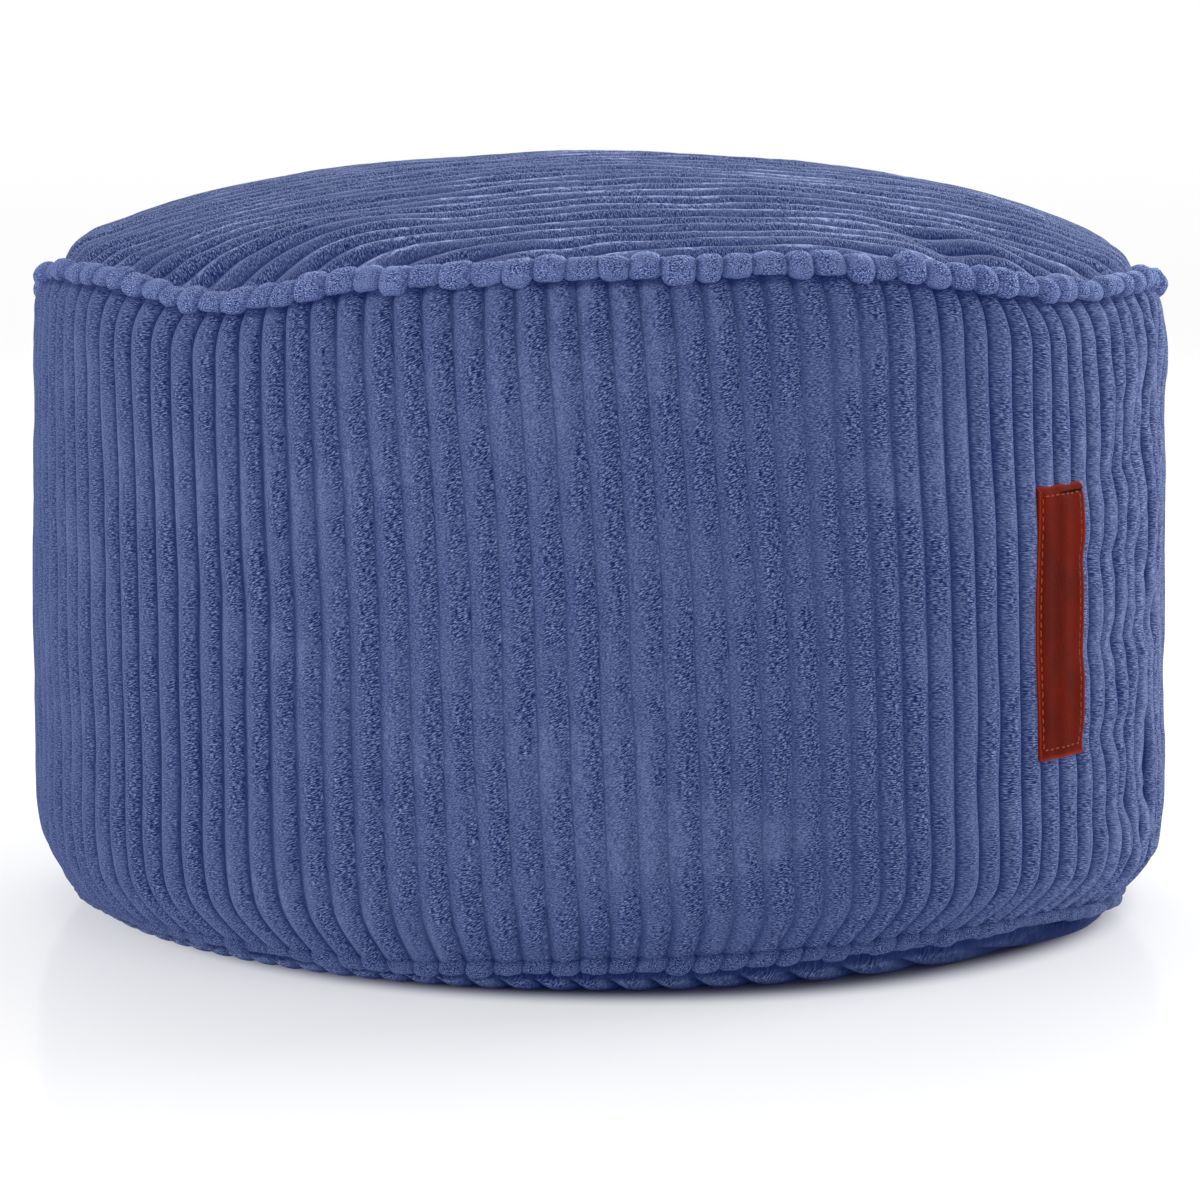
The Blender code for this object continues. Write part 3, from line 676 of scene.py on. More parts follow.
def make_top_panel(material, shape):
    """The crowned top: straight wales over a dome, rolled down into the seam."""
    piece, along, across, share = chord_grid("corduroy_top", TOP_RIM_RADIUS, TOP_STEPS)
    wale = np.floor(across / WALE_PITCH)
    wander = (0.0006 * unevenness(51, (64, 16), wale + 0.37, along / 0.050)
              + 0.0004 * unevenness(52, (64, 32), wale * 0.31, along / 0.035))
    reach = np.hypot(along, across)
    inner = ease(TOP_RIM_RADIUS - reach, 0.0, 0.020)
    x, y = turned(along, across + wander * inner, TOP_WALE_TURN)
    height = top_height(x, y)
    step = SLOPE_STEP
    inward = np.minimum(1.0, (TOP_RIM_RADIUS - 2 * step) / np.maximum(reach, 1e-6))
    in_x, in_y = x * inward, y * inward
    slope_x = (top_height(in_x + step, in_y) - top_height(in_x - step, in_y)) / (2 * step)
    slope_y = (top_height(in_x, in_y + step) - top_height(in_x, in_y - step)) / (2 * step)
    normal = np.stack([-slope_x, -slope_y, np.ones_like(x)], axis=-1)
    normal /= np.linalg.norm(normal, axis=-1, keepdims=True)
    rise = wale_rise(share)
    squeeze = ease(TOP_RIM_RADIUS - reach, 0.0, TOP_SQUEEZE)
    plump = 1.0 + PLUMP_UNEVEN * unevenness(53, (64, 16), wale, along / 0.030)
    depth = shape.wale_depth * squeeze * (1.0 - rise * plump)
    depth -= CREST_ROUGH * rise * unevenness(54, (120, 80), across / 0.0043, along / SMALL_CELL)
    place_points(piece, np.stack([x, y, height], axis=-1) - depth[:, None] * normal)

    crack = 1 - ease(TOP_RIM_RADIUS - reach, 0.0005, 0.0035)
    point_value(piece, "shade", np.maximum(TOP_GROOVE_SHADE * ease(1 - rise, 0.36, 0.95),
                                           TOP_CRACK_SHADE * crack))
    point_value(piece, "open", TOP_OPEN * bell(share - 0.30, 0.34))
    # painted highlight on each wale's far flank, with lighter brushed patches, weaker towards
    # the left and fading towards the back
    patch = unevenness(55, (64, 40), wale / 1.3, along / 0.015)
    wide = ease(unevenness(56, (12, 12), across / 0.045, along / 0.060), 0.1, 0.7)
    flank = (2.5 + TOP_BRUSHED * patch) * bell(share - 0.60, 0.29)
    lighter = 0.87 + 0.09 * ease(along + 0.4 * across, -0.16, 0.02)
    fade_to_back = 1 - 0.75 * ease(y, 0.085, 0.150)
    nap = (flank + TOP_BRUSHED * wide) * lighter - TOP_NAP_AND_LIGHT_LEVEL
    point_value(piece, "nap", nap * fade_to_back)
    cloth_map(piece, across, along)
    close_skin(piece)
    return keep(piece, "top_panel", material)


def make_bottom_panel(material):
    """The bottom: wales pressed flat where it rests, rounded up at its edge."""
    piece, along, across, share = chord_grid("corduroy_bottom", BOTTOM_RIM_RADIUS, BOTTOM_STEPS)
    x, y = turned(along, across, BOTTOM_WALE_TURN)
    reach = np.hypot(x, y)
    angle = np.degrees(np.arctan2(x, -y))
    rim_height = BOTTOM_SEAM_HEIGHT + around(FOOT_LIFT, angle, "rise")
    edge = np.clip((reach - FOOT_RADIUS) / (BOTTOM_RIM_RADIUS - FOOT_RADIUS), 0.0, 1.0)
    bulge = edge ** around(FOOT_LIFT, angle, "full")
    height = rim_height * (1.0 - np.sqrt(1.0 - bulge ** 2))
    outward = 1.0 + around(FOOT_LIFT, angle, "out") * edge / BOTTOM_RIM_RADIUS
    rise = wale_rise(share)
    squeeze = ease(BOTTOM_RIM_RADIUS - reach, 0.0, BOTTOM_SQUEEZE)
    deep = BOTTOM_GROOVE * (0.75 + 0.75 * ease(reach, FOOT_RADIUS - FOOT_EDGE_START,
                                               FOOT_RADIUS + FOOT_EDGE_END))
    height = height + deep * squeeze * (1.0 - np.minimum(rise * 1.08, 1.0))
    place_points(piece, np.stack([x * outward, y * outward, height], axis=-1))
    crack = 1 - ease(BOTTOM_RIM_RADIUS - reach, 0.0005, 0.0030)
    # painted shade where the cloth meets the floor, and under the lifted edge on the right
    low = np.maximum(CONTACT_SHADE * (1 - ease(height, 0.0004, 0.0050)),
                     near(angle, LOW_SHADE_ANGLE, LOW_SHADE_HALF_ANGLE)
                     * (1 - ease(height, 0.0050, 0.0140)))
    deepest = BOTTOM_GROOVE_SHADE * np.maximum(ease(1 - rise, 0.20, 0.80), crack)
    point_value(piece, "shade", np.maximum(deepest, low))
    point_value(piece, "open", BOTTOM_OPEN * bell(share - 0.5, 0.35))
    # painted light on the wales' crests
    point_value(piece, "nap", 0.5 * bell(share - 0.45, 0.25) + 0.1)
    cloth_map(piece, across, along)
    close_skin(piece)
    return keep(piece, "bottom_panel", material)


# ---------------------------------------------------------------- piping

def make_piping(name, node, rim, seam_height, shift, section, beads, seed, material):
    """A strip of corduroy cut across its wales and rolled into the seam as beads.

    rim, seam_height and shift are functions of the angle.
    """
    columns = WALE_COUNT * BEAD_STEPS
    piece, column, row = cut_cloth(name, columns, BEAD_SIDES)
    side = 2 * math.pi * row / BEAD_SIDES
    across = column / BEAD_STEPS
    share = across - np.floor(across)
    index = np.floor(across).astype(int) % WALE_COUNT
    angle = 360.0 * across / WALE_COUNT
    random = np.random.default_rng(seed)
    drift = section.drift * unevenness(seed + 2, (WALE_COUNT, 1), across, np.zeros_like(across))
    own_size, own_out, own_up, own_turn = random.uniform(-1.0, 1.0, (4, WALE_COUNT))
    own_out, own_up = own_out * section.uneven, own_up * section.uneven
    end = np.abs(2.0 * share - 1.0)
    middle = 1.0 - end ** 4
    neck = np.clip(around(beads, angle, "neck"), 0.3, 0.95)
    swell = neck + (1.0 - neck) * np.sqrt(1.0 - end ** BEAD_SQUARENESS)
    size = around(beads, angle, "size") * (1.0 + BEAD_UNEVEN_SIZE * own_size[index] * middle)
    ripple = 1.0 + BEAD_RIPPLE * unevenness(seed + 1, (WALE_COUNT * 4, 10), across * 4,
                                            side / math.pi * 5)
    anchor = section.out * BEAD_ANCHOR
    out = section.out + section.half_out * np.cos(side) * ripple
    out = anchor + (out - anchor) * swell * size + own_out[index] * middle
    up = section.up + section.half_up * np.sin(side) * ripple * swell * size
    up = up + own_up[index] * middle
    lean = (around(beads, angle, "lean") + BEAD_TWIST * own_turn[index]) * np.sin(side)
    radius = rim(angle) + PIPING_START + np.maximum(out, 0.0)
    turn = shift(angle) + np.degrees((lean + drift) / RADIUS)
    place_points(piece, polar(angle + turn, radius, seam_height(angle + turn) + up))
    # painted shade under each bead and in the necks between the beads
    under = ease(-np.sin(side + 0.2), 0.80, 1.0)
    point_value(piece, "shade", np.maximum(0.6 * (1.0 - neck) * end ** 12, 0.55 * under))
    point_value(piece, "open", section.open * bell(share - 0.5, 0.50))
    # painted light: the beads lighter on top and darker below, and darker round the left side
    left = 0.9 * near(angle, -78.0, 30.0)
    point_value(piece, "nap", section.nap * (0.5 + np.sin(side - 0.3) - left))
    cloth_map(piece, across * WALE_PITCH * STRIP_STRETCH, side * section.half_up * 0.9)
    close_skin(piece)
    return keep(piece, node, material)


def make_top_piping(material):
    """The beaded strip in the top seam."""
    def seam_height(angle):
        """The seam's height, with the beads' sag at the two sides."""
        sag = near(angle, 92.0, 14.0) + LEFT_SAG * near(angle, -94.0, 18.0)
        return SEAM_HEIGHT + seam_lift(angle) - TOP_BEAD_SAG * sag

    return make_piping("piping_top", "top_piping", lambda angle: TOP_RIM_RADIUS, seam_height,
                       lambda angle: 0.0, TOP_BEAD, TOP_BEADS, 71, material)


def make_bottom_piping(material):
    """The same strip in the bottom seam, smaller, its beads under the side's wales."""
    return make_piping("piping_bottom", "bottom_piping",
                       lambda angle: BOTTOM_RIM_RADIUS + around(FOOT_LIFT, angle, "out"),
                       lambda angle: BOTTOM_SEAM_HEIGHT + around(FOOT_LIFT, angle, "rise"),
                       lambda angle: side_shift(angle, BOTTOM_SEAM_HEIGHT),
                       FOOT_BEAD, FOOT_BEADS, 81, material)


# ---------------------------------------------------------------- label

def side_reach(angle, height):
    """How far out the side's crests lie at an angle and a true height."""
    _, line_height, line_inset, _ = side_sections()
    level = height - ease(height, LIFT_START, LIFT_END) * seam_lift(angle)
    inset = np.interp(level, line_height, line_inset)
    return RADIUS - inset + side_fullness(angle, level)


def label_point(across, up, out):
    """A point of the label: across and up from its middle, and out from the crests."""
    left = np.clip(-across / LABEL_HALF_WIDTH, 0.0, 1.0)
    across = across - LABEL_BOW * left * np.cos(0.5 * math.pi * up / LABEL_HALF_HEIGHT)
    angle = LABEL_ANGLE + np.degrees(across / RADIUS)
    height = 0.5 * (LABEL_LOW + LABEL_HIGH) + up
    swell = LABEL_WAVE * np.sin(2 * math.pi * (across / WALE_PITCH + 0.15))
    return polar(angle, side_reach(angle, height) + swell + out, height)


def make_label(material, shape):
    """The leather patch, bent to the side and sewn down, with nothing on its face."""
    columns = int(round(LABEL_WIDTH / LABEL_STEP))
    rows = int(round((LABEL_HIGH - LABEL_LOW) / LABEL_STEP))
    piece, column, row = cut_cloth("leather_label", columns, rows)
    across = (column / columns - 0.5) * LABEL_WIDTH
    up = (row / rows - 0.5) * (LABEL_HIGH - LABEL_LOW)
    edge_gap = np.minimum(LABEL_HALF_WIDTH - np.abs(across), LABEL_HALF_HEIGHT - np.abs(up))
    pulled = LABEL_PULL * bell(edge_gap - LABEL_PULL_IN, LABEL_PULL_WIDTH)
    top_gap = LABEL_HALF_HEIGHT - up
    tucked = LABEL_FOLD * (1 - ease(top_gap, -0.0004, 0.0024))
    slit = LABEL_SLIT * bell(top_gap - LABEL_SLIT_DOWN, 0.0005) * ease(across, -0.003, 0.001)
    out = shape.label_thickness - LABEL_SINK + LABEL_CLEAR - pulled - tucked - slit
    place_points(piece, label_point(across, up, out))
    point_value(piece, "edge", 1 - ease(edge_gap, 0.0003, 0.0016))
    # painted shade in the slit under the top edge
    point_value(piece, "slit", np.minimum(slit / 0.0009, 1.0))
    cloth_map(piece, across, up)
    bpy.ops.object.shade_smooth()
    solid = piece.modifiers.new("thickness", "SOLIDIFY")
    solid.thickness = shape.label_thickness
    solid.offset = -1.0
    bpy.ops.object.modifier_apply(modifier=solid.name)
    bevel = piece.modifiers.new("worn edge", "BEVEL")
    bevel.width = LABEL_BEVEL
    bevel.segments = 3
    bevel.limit_method = "ANGLE"
    bevel.angle_limit = math.radians(LABEL_CORNER)
    bpy.ops.object.modifier_apply(modifier=bevel.name)
    return keep(piece, "label", material)


def stitch_places(pitch):
    """Each stitch's place across and up the label, and the way that it runs."""
    stitches = []
    for side, edge_in in ((-1, STITCH_IN_LEFT), (1, STITCH_IN_RIGHT)):
        edge = side * (LABEL_HALF_WIDTH - edge_in)
        end = side * (LABEL_HALF_HEIGHT - STITCH_IN_END)
        count = int(round(2 * abs(end) / pitch))
        stitches += [(edge, end * (2 * (step + 0.5) / count - 1), 0.0, 1.0)
                     for step in range(count)]
        count = int(round(2 * abs(edge) / pitch))
        stitches += [(edge * (2 * (step + 0.5) / count - 1), end, 1.0, 0.0)
                     for step in range(count)]
    return stitches


def make_stitching(material, shape):
    """The orange thread round the label: a row of short raised stitches."""
    stitches = stitch_places(shape.stitch_pitch)
    bpy.ops.object.select_all(action="DESELECT")
    bpy.ops.mesh.primitive_uv_sphere_add(segments=8, ring_count=6, radius=1.0)
    piece = bpy.context.object
    piece.name = piece.data.name = "label_stitching"
    ball = np.array([vertex.co for vertex in piece.data.vertices])
    row = piece.modifiers.new("row of stitches", "ARRAY")
    row.count = len(stitches)
    row.use_relative_offset = False
    row.use_constant_offset = True
    row.constant_offset_displace = (3.0, 0.0, 0.0)
    bpy.ops.object.modifier_apply(modifier=row.name)
    random = np.random.default_rng(91)
    points = []
    for across, up, along_x, along_y in stitches:
        uneven = random.uniform(-1.0, 1.0, 3)
        along = (ball[:, 0] * 0.5 * shape.stitch_length
                 * (1.0 + STITCH_UNEVEN_LENGTH * uneven[0]))
        beside = (ball[:, 1] * STITCH_HALF_WIDTH + STITCH_UNEVEN_PLACE * uneven[1]
                  + along * STITCH_UNEVEN_TURN * uneven[2])
        out = (shape.label_thickness - LABEL_SINK + STITCH_RAISE
               + ball[:, 2] * STITCH_HALF_THICKNESS - STITCH_BEND * ball[:, 0] ** 2)
        points.append(label_point(across + along_x * along - along_y * beside,
                                  up + along_y * along + along_x * beside, out))
    place_points(piece, np.concatenate(points))
    bpy.ops.object.mode_set(mode="EDIT")
    bpy.ops.mesh.select_all(action="SELECT")
    bpy.ops.mesh.normals_make_consistent(inside=False)
    bpy.ops.object.mode_set(mode="OBJECT")
    bpy.ops.object.shade_smooth()
    return keep(piece, None, material)


# ---------------------------------------------------------------- materials

class Steps:
    """Adds nodes to a tree and joins them, so that a finish reads as a list of steps."""

    def __init__(self, tree):
        self.tree = tree

    def add(self, kind, inputs=None, **settings):
        """One node; an input is given a value, or the socket that feeds it."""
        node = self.tree.nodes.new(kind)
        for name, value in settings.items():
            setattr(node, name, value)
        self.feed(node, inputs or {})
        return node

    def feed(self, node, inputs):
        """Give inputs of a node their values, or the sockets that feed them."""
        for key, value in inputs.items():
            if isinstance(value, bpy.types.NodeSocket):
                self.tree.links.new(value, node.inputs[key])
            else:
                node.inputs[key].default_value = value

    def math(self, operation, first, second, clamp=False):
        """One sum of two values."""
        return self.add("ShaderNodeMath", {0: first, 1: second}, operation=operation,
                        use_clamp=clamp).outputs[0]

    def plus(self, first, second, clamp=False):
        """Two values added."""
        return self.math("ADD", first, second, clamp)

    def times(self, first, second, clamp=False):
        """Two values multiplied."""
        return self.math("MULTIPLY", first, second, clamp)

    def point(self, name):
        """A number that the piece keeps for each point."""
        return self.add("ShaderNodeAttribute", attribute_name=name).outputs["Fac"]

    def place(self):
        """Places in the piece's own metres."""
        return self.add("ShaderNodeTexCoord").outputs["Object"]

    def span(self, value, low, high, to_low=0.0, to_high=1.0):
        """The value's place between low and high, softened."""
        node = self.add("ShaderNodeMapRange",
                        {"Value": value, "From Min": low, "From Max": high,
                         "To Min": to_low, "To Max": to_high}, interpolation_type="SMOOTHSTEP")
        return node.outputs["Result"]

    def mix(self, share, first, second, blend="MIX"):
        """Two colours mixed; 6 and 7 are the node's colour inputs, and 2 its colour output."""
        return self.add("ShaderNodeMix", {0: share, 6: first, 7: second}, data_type="RGBA",
                        blend_type=blend).outputs[2]

    def noise(self, place, scale, detail=2.0, distortion=0.0):
        """Cloud noise over places that have been scaled to cells."""
        scaled = self.add("ShaderNodeVectorMath", {0: place, 1: scale}, operation="MULTIPLY")
        node = self.add("ShaderNodeTexNoise", {
            "Vector": scaled.outputs[0], "Scale": 1.0, "Detail": detail,
            "Distortion": distortion})
        return node.outputs["Fac"]


def opaque(colour):
    """A colour with its alpha."""
    return (*colour, 1.0)


def new_material(name):
    """A material, the steps of its tree, and its shader."""
    material = bpy.data.materials.new(name)
    material.use_nodes = True
    tree = material.node_tree
    return material, Steps(tree), tree.nodes["Principled BSDF"]


def new_group(name, inputs, outputs):
    """An empty shader node group with named sockets, its steps, and its two ends."""
    group = bpy.data.node_groups.new(name, "ShaderNodeTree")
    for label, kind, default in inputs:
        socket = group.interface.new_socket(name=label, in_out="INPUT", socket_type=kind)
        if default is not None:
            socket.default_value = default
    for label, kind in outputs:
        group.interface.new_socket(name=label, in_out="OUTPUT", socket_type=kind)
    steps = Steps(group)
    start, end = steps.add("NodeGroupInput"), steps.add("NodeGroupOutput")
    return group, steps, start, end


def pile_group():
    """Corduroy pile: smooth and open stretches, gaps in rows across the wale, painted shade in
    the grooves, painted light on one flank and painted highlights.
    """
    found = bpy.data.node_groups.get("corduroy pile")
    if found:
        return found
    group, steps, start, end = new_group(
        "corduroy pile",
        (("Cloth", "NodeSocketVector", None),
         ("Shade", "NodeSocketFloat", 0.0),
         ("Open", "NodeSocketFloat", 0.5),
         ("Nap", "NodeSocketFloat", 0.0),
         ("Bloom", "NodeSocketColor", (0.30, 0.36, 0.60, 1.0)),
         ("Tips", "NodeSocketColor", (0.15, 0.19, 0.34, 1.0)),
         ("Light", "NodeSocketColor", (0.11, 0.14, 0.30, 1.0)),
         ("Body", "NodeSocketColor", (0.07, 0.10, 0.23, 1.0)),
         ("Dark", "NodeSocketColor", (0.02, 0.04, 0.13, 1.0)),
         ("Nap Contrast", "NodeSocketFloat", 0.4)),
        (("Color", "NodeSocketColor"), ("Height", "NodeSocketFloat"),
         ("Roughness", "NodeSocketFloat")))
    given = start.outputs
    cloth, nap = given["Cloth"], given["Nap"]
    wide = steps.span(steps.noise(cloth, (38.0, 26.0, 1.0)), 0.34, 0.68)
    small = steps.span(steps.noise(cloth, (150.0, 110.0, 1.0)), 0.34, 0.68)
    mottle = steps.plus(steps.times(wide, 0.6), steps.times(small, 0.4))
    rows = steps.plus(
        steps.times(steps.noise(cloth, (560.0, 1900.0, 1.0), 0.0, distortion=0.3), 0.66),
        steps.times(steps.noise(cloth, (1000.0, 3100.0, 1.0), 0.0), 0.34))
    opened = steps.times(given["Open"], steps.span(mottle, 0.25, 0.78, 1.35, 0.35), clamp=True)
    opened = steps.plus(opened, 0.16, clamp=True)
    gap = steps.times(steps.span(rows, 0.515, 0.60), opened)
    tip = steps.times(steps.span(rows, 0.48, 0.38), opened)
    # one flank lighter: partly the pile's own lie, partly painted light from the side lamps
    lie = steps.times(nap, given["Nap Contrast"])
    share = steps.plus(steps.times(mottle, 0.55), steps.plus(lie, 0.22), clamp=True)
    colour = steps.mix(share, given["Body"], given["Light"])
    fuzz = steps.noise(cloth, (1000.0, 2600.0, 1.0), 0.0)
    grain = steps.plus(steps.times(steps.span(fuzz, 0.32, 0.68, -0.5, 0.5),
                                   steps.plus(steps.times(opened, 0.50), 0.72)), 1.0)
    grain = steps.add("ShaderNodeCombineColor",
                      {"Red": grain, "Green": grain, "Blue": grain}).outputs[0]
    colour = steps.mix(steps.times(tip, 0.8), colour, given["Tips"])
    colour = steps.mix(1.0, colour, grain, "MULTIPLY")
    # painted highlight where the flank light runs high, broken up by noise
    bloom = steps.times(steps.span(nap, 0.6, 1.8),
                        steps.span(steps.noise(cloth, (330.0, 300.0, 1.0)), 0.36, 0.64))
    colour = steps.mix(bloom, colour, given["Bloom"])
    colour = steps.mix(gap, colour, given["Dark"])
    colour = steps.mix(given["Shade"], colour, given["Dark"])
    height = steps.math("SUBTRACT", steps.times(fuzz, 0.30), steps.times(rows, opened))
    height = steps.plus(height, steps.times(small, 0.25))
    steps.feed(end, {"Color": colour, "Height": height,
                     "Roughness": steps.span(mottle, 0.0, 1.0, 0.96, 0.84)})
    return group


def corduroy(name, finish, tint=1.0, sheen=1.0, stray=1.0, gaps=1.0):
    """One corduroy material: the pile group over a matt cloth with a soft sheen.

    A faint painted glow, an emission, lifts the pile's shadows. The tint makes each piece a
    lighter or darker copy of the one cloth, as painted light, and gaps darkens its gaps and
    painted shade.
    """
    material, steps, shader = new_material(name)

    def shade(colour, share=1.0):
        """A colour of the finish, made lighter or darker by this piece's tint as painted light.
        """
        return opaque(value * tint * share for value in colour)

    pile = steps.add("ShaderNodeGroup", node_tree=pile_group())
    steps.feed(pile, {
        "Cloth": steps.add("ShaderNodeUVMap", uv_map="cloth").outputs["UV"],
        "Shade": steps.point("shade"),
        "Open": steps.point("open"),
        "Nap": steps.point("nap"),
        "Bloom": shade(finish.bloom),
        "Tips": shade(finish.tips),
        "Light": shade(finish.light),
        "Body": shade(finish.body),
        "Dark": shade(finish.dark, gaps),
        "Nap Contrast": finish.nap_contrast,
    })
    bump = steps.add("ShaderNodeBump", {"Strength": 1.0, "Distance": finish.pile_depth,
                                        "Height": pile.outputs["Height"]})
    steps.feed(shader, {
        "Base Color": pile.outputs["Color"],
        "Roughness": pile.outputs["Roughness"],
        "Normal": bump.outputs["Normal"],
        "Specular IOR Level": 0.05,
        "Emission Color": opaque(finish.stray),
        "Emission Strength": stray,
        "Sheen Weight": finish.sheen * sheen,
        "Sheen Roughness": finish.sheen_roughness,
        "Sheen Tint": opaque(finish.sheen_tint),
    })
    return material


def leather(finish):
    """Red-brown leather: a fine grain, darker clouds, brighter rubbed edges."""
    material, steps, shader = new_material("label leather")
    place = steps.place()
    grain = steps.add("ShaderNodeTexVoronoi", {"Vector": place, "Scale": 900.0},
                      feature="SMOOTH_F1").outputs["Distance"]
    clouds = steps.noise(place, (70.0, 70.0, 45.0), 3.0)
    colour = steps.mix(steps.span(clouds, 0.3, 0.7), opaque(finish.leather_dark),
                       opaque(finish.leather))
    colour = steps.mix(steps.times(steps.point("edge"), 0.85), colour,
                       opaque(finish.leather_edge))
    # painted shade, near black, in the slit under the top edge
    colour = steps.mix(steps.point("slit"), colour, (0.012, 0.004, 0.003, 1.0))
    bump = steps.add("ShaderNodeBump", {"Strength": 0.5, "Distance": 0.00025,
                                        "Height": steps.plus(grain, steps.times(clouds, 1.5))})
    steps.feed(shader, {"Base Color": colour, "Normal": bump.outputs["Normal"],
                        "Roughness": steps.span(clouds, 0.2, 0.8, 0.62, 0.72),
                        "Specular IOR Level": 0.015})
    return material


def thread(finish):
    """Twisted orange sewing thread."""
    material, steps, shader = new_material("label thread")
    twist = steps.noise(steps.place(), (2600.0, 2600.0, 1800.0), 1.0)
    colour = steps.mix(steps.span(twist, 0.35, 0.65),
                       opaque(value * 0.6 for value in finish.thread), opaque(finish.thread))
    bump = steps.add("ShaderNodeBump", {"Strength": 0.6, "Distance": 0.0001, "Height": twist})
    steps.feed(shader, {"Base Color": colour, "Normal": bump.outputs["Normal"],
                        "Roughness": 0.8, "Specular IOR Level": 0.1})
    return material


# ---------------------------------------------------------------- settings

def metres(name, default, description):
    """A length setting."""
    return bpy.props.FloatProperty(name=name, description=description, default=default,
                                   unit="LENGTH", precision=4)


def amount(name, default, description):
    """A share or strength setting."""
    return bpy.props.FloatProperty(name=name, description=description, default=default, min=0.0)


def colour(name, default, description):
    """A colour setting."""
    return bpy.props.FloatVectorProperty(name=name, description=description, default=default,
                                         subtype="COLOR", size=3, min=0.0, max=1.0)


def exact(settings):
    """Settings as plain numbers, without the noise of their single precision."""
    names = list(settings.__annotations__)
    return namedtuple("Sizes", names)(*(round(getattr(settings, name), 6) for name in names))


class StoolShape(bpy.types.PropertyGroup):
    """Sizes of the wales, the label and its stitches."""
    wale_depth: metres("Wale depth", 0.0035, "From a wale's crest down to its grooves")
    tautness: amount("Tautness", 0.50, "How much flatter the wales are over the tight front")
    crumple: metres("Crumple", 0.0068, "How far the wales on the right wander sideways")
    label_thickness: metres("Label thickness", 0.0016, "How thick the leather is")
    stitch_pitch: metres("Stitch pitch", 0.0037, "From one stitch to the next")
    stitch_length: metres("Stitch length", 0.0027, "How much of a stitch shows")


class CorduroyFinish(bpy.types.PropertyGroup):
    """Colours and pile of the corduroy, with its painted highlight, painted shade and painted
    glow.
    """
    # painted highlight, laid where the flank light runs high
    bloom: colour("Brushed pile and painted highlight", (0.340, 0.410, 0.680), "Painted highlight on pile brushed to the light")
    tips: colour("Tips", (0.182, 0.224, 0.380), "Tips of the open pile")
    light: colour("Smooth pile", (0.095, 0.121, 0.230), "Pile that lies flat")
    body: colour("Open pile", (0.057, 0.080, 0.182), "Pile that stands open")
    # gaps between the pile's rows, and the colour of painted shade
    dark: colour("Gaps", (0.008, 0.015, 0.070), "Between the pile's rows, and painted shade in grooves, cracks and seams")
    # painted glow: an emission that lifts the pile's shadows
    stray: colour("Painted glow", (0.0, 0.005, 0.040), "Painted glow that lifts the pile's shadows")
    nap_contrast: amount("Nap contrast", 0.22, "How much lighter one flank of a wale lies")
    pile_depth: metres("Pile depth", 0.0008, "Depth of the gaps between the pile's rows")
    sheen: amount("Sheen", 0.13, "Bloom of the pile where it is seen edge on")
    sheen_roughness: amount("Sheen roughness", 0.40, "Width of the bloom")
    sheen_tint: colour("Sheen tint", (0.62, 0.72, 1.0), "Colour of the bloom")


class LabelFinish(bpy.types.PropertyGroup):
    """Colours of the label and its thread."""
    leather: colour("Leather", (0.130, 0.0098, 0.0042), "The leather's face")
    leather_dark: colour("Leather, dark", (0.083, 0.0072, 0.0036), "Its darker clouds")
    leather_edge: colour("Leather, edge", (0.235, 0.022, 0.010), "Its rubbed edges")
    thread: colour("Thread", (0.40, 0.062, 0.018), "The stitches")


class StageSettings(bpy.types.PropertyGroup):
    """Floor, light and camera."""
    floor: colour("Floor", (0.42, 0.42, 0.43), "The pale floor")
    # the floor's glow keeps it white; round the stool it fades into a painted shadow in
    # floor_shade's colour
    floor_glow: amount("Floor glow", 0.65, "Glow that keeps the floor white, faded round the stool into a painted shadow")
    floor_shade: colour("Floor shade", (0.80, 0.82, 1.0), "Its colour in the painted shadow round the stool")
    horizon: amount("Horizon", 1.0, "White light from low down, all round")
    world: amount("Sky", 0.72, "White light from higher up")
    overhead: amount("Overhead lamp", 24.0, "Watts of the big lamp above and behind")
    left: amount("Left lamp", 13.7, "Watts of the lamp on the left")
    right: amount("Right lamp", 38.0, "Watts of the lamp on the right")
    camera_distance: metres("Camera distance", 2.25, "In front of the stool's middle")
    camera_height: metres("Camera height", 0.445, "Above the floor")
    camera_pitch: bpy.props.FloatProperty(
        name="Camera pitch", description="Below the level line", default=math.radians(7.96),
        subtype="ANGLE")
    lens: amount("Lens", 152.9, "Focal length in millimetres on a 36 mm frame")


# ---------------------------------------------------------------- operators

class OBJECT_OT_footstool_side(bpy.types.Operator):
    """Make the side panel, filled and wale by wale"""
    bl_idname = "object.footstool_side"
    bl_label = "Side panel"
    bl_options = {"REGISTER", "UNDO"}

    def execute(self, context):
        scene = context.scene
        # the side's copy of the cloth, a little lighter: painted light
        material = corduroy("corduroy side", scene.footstool_corduroy, tint=1.03, sheen=0.5)
        make_side_panel(material, exact(scene.footstool_shape))
        return {"FINISHED"}


class OBJECT_OT_footstool_top(bpy.types.Operator):
    """Make the crowned top panel"""
    bl_idname = "object.footstool_top"
    bl_label = "Top panel"
    bl_options = {"REGISTER", "UNDO"}

    def execute(self, context):
        scene = context.scene
        # the top's copy of the cloth, a little darker, with more painted glow: painted light
        material = corduroy("corduroy top", scene.footstool_corduroy, tint=0.93, sheen=1.7,
                            stray=1.12)
        make_top_panel(material, exact(scene.footstool_shape))
        return {"FINISHED"}


class OBJECT_OT_footstool_bottom(bpy.types.Operator):
    """Make the bottom panel, flat where it rests"""
    bl_idname = "object.footstool_bottom"
    bl_label = "Bottom panel"
    bl_options = {"REGISTER", "UNDO"}

    def execute(self, context):
        # the bottom's copy of the cloth, much lighter, with darker gaps and painted shade:
        # painted light
        make_bottom_panel(corduroy("corduroy bottom", context.scene.footstool_corduroy,
                                   tint=1.62, stray=0.9, gaps=0.50))
        return {"FINISHED"}


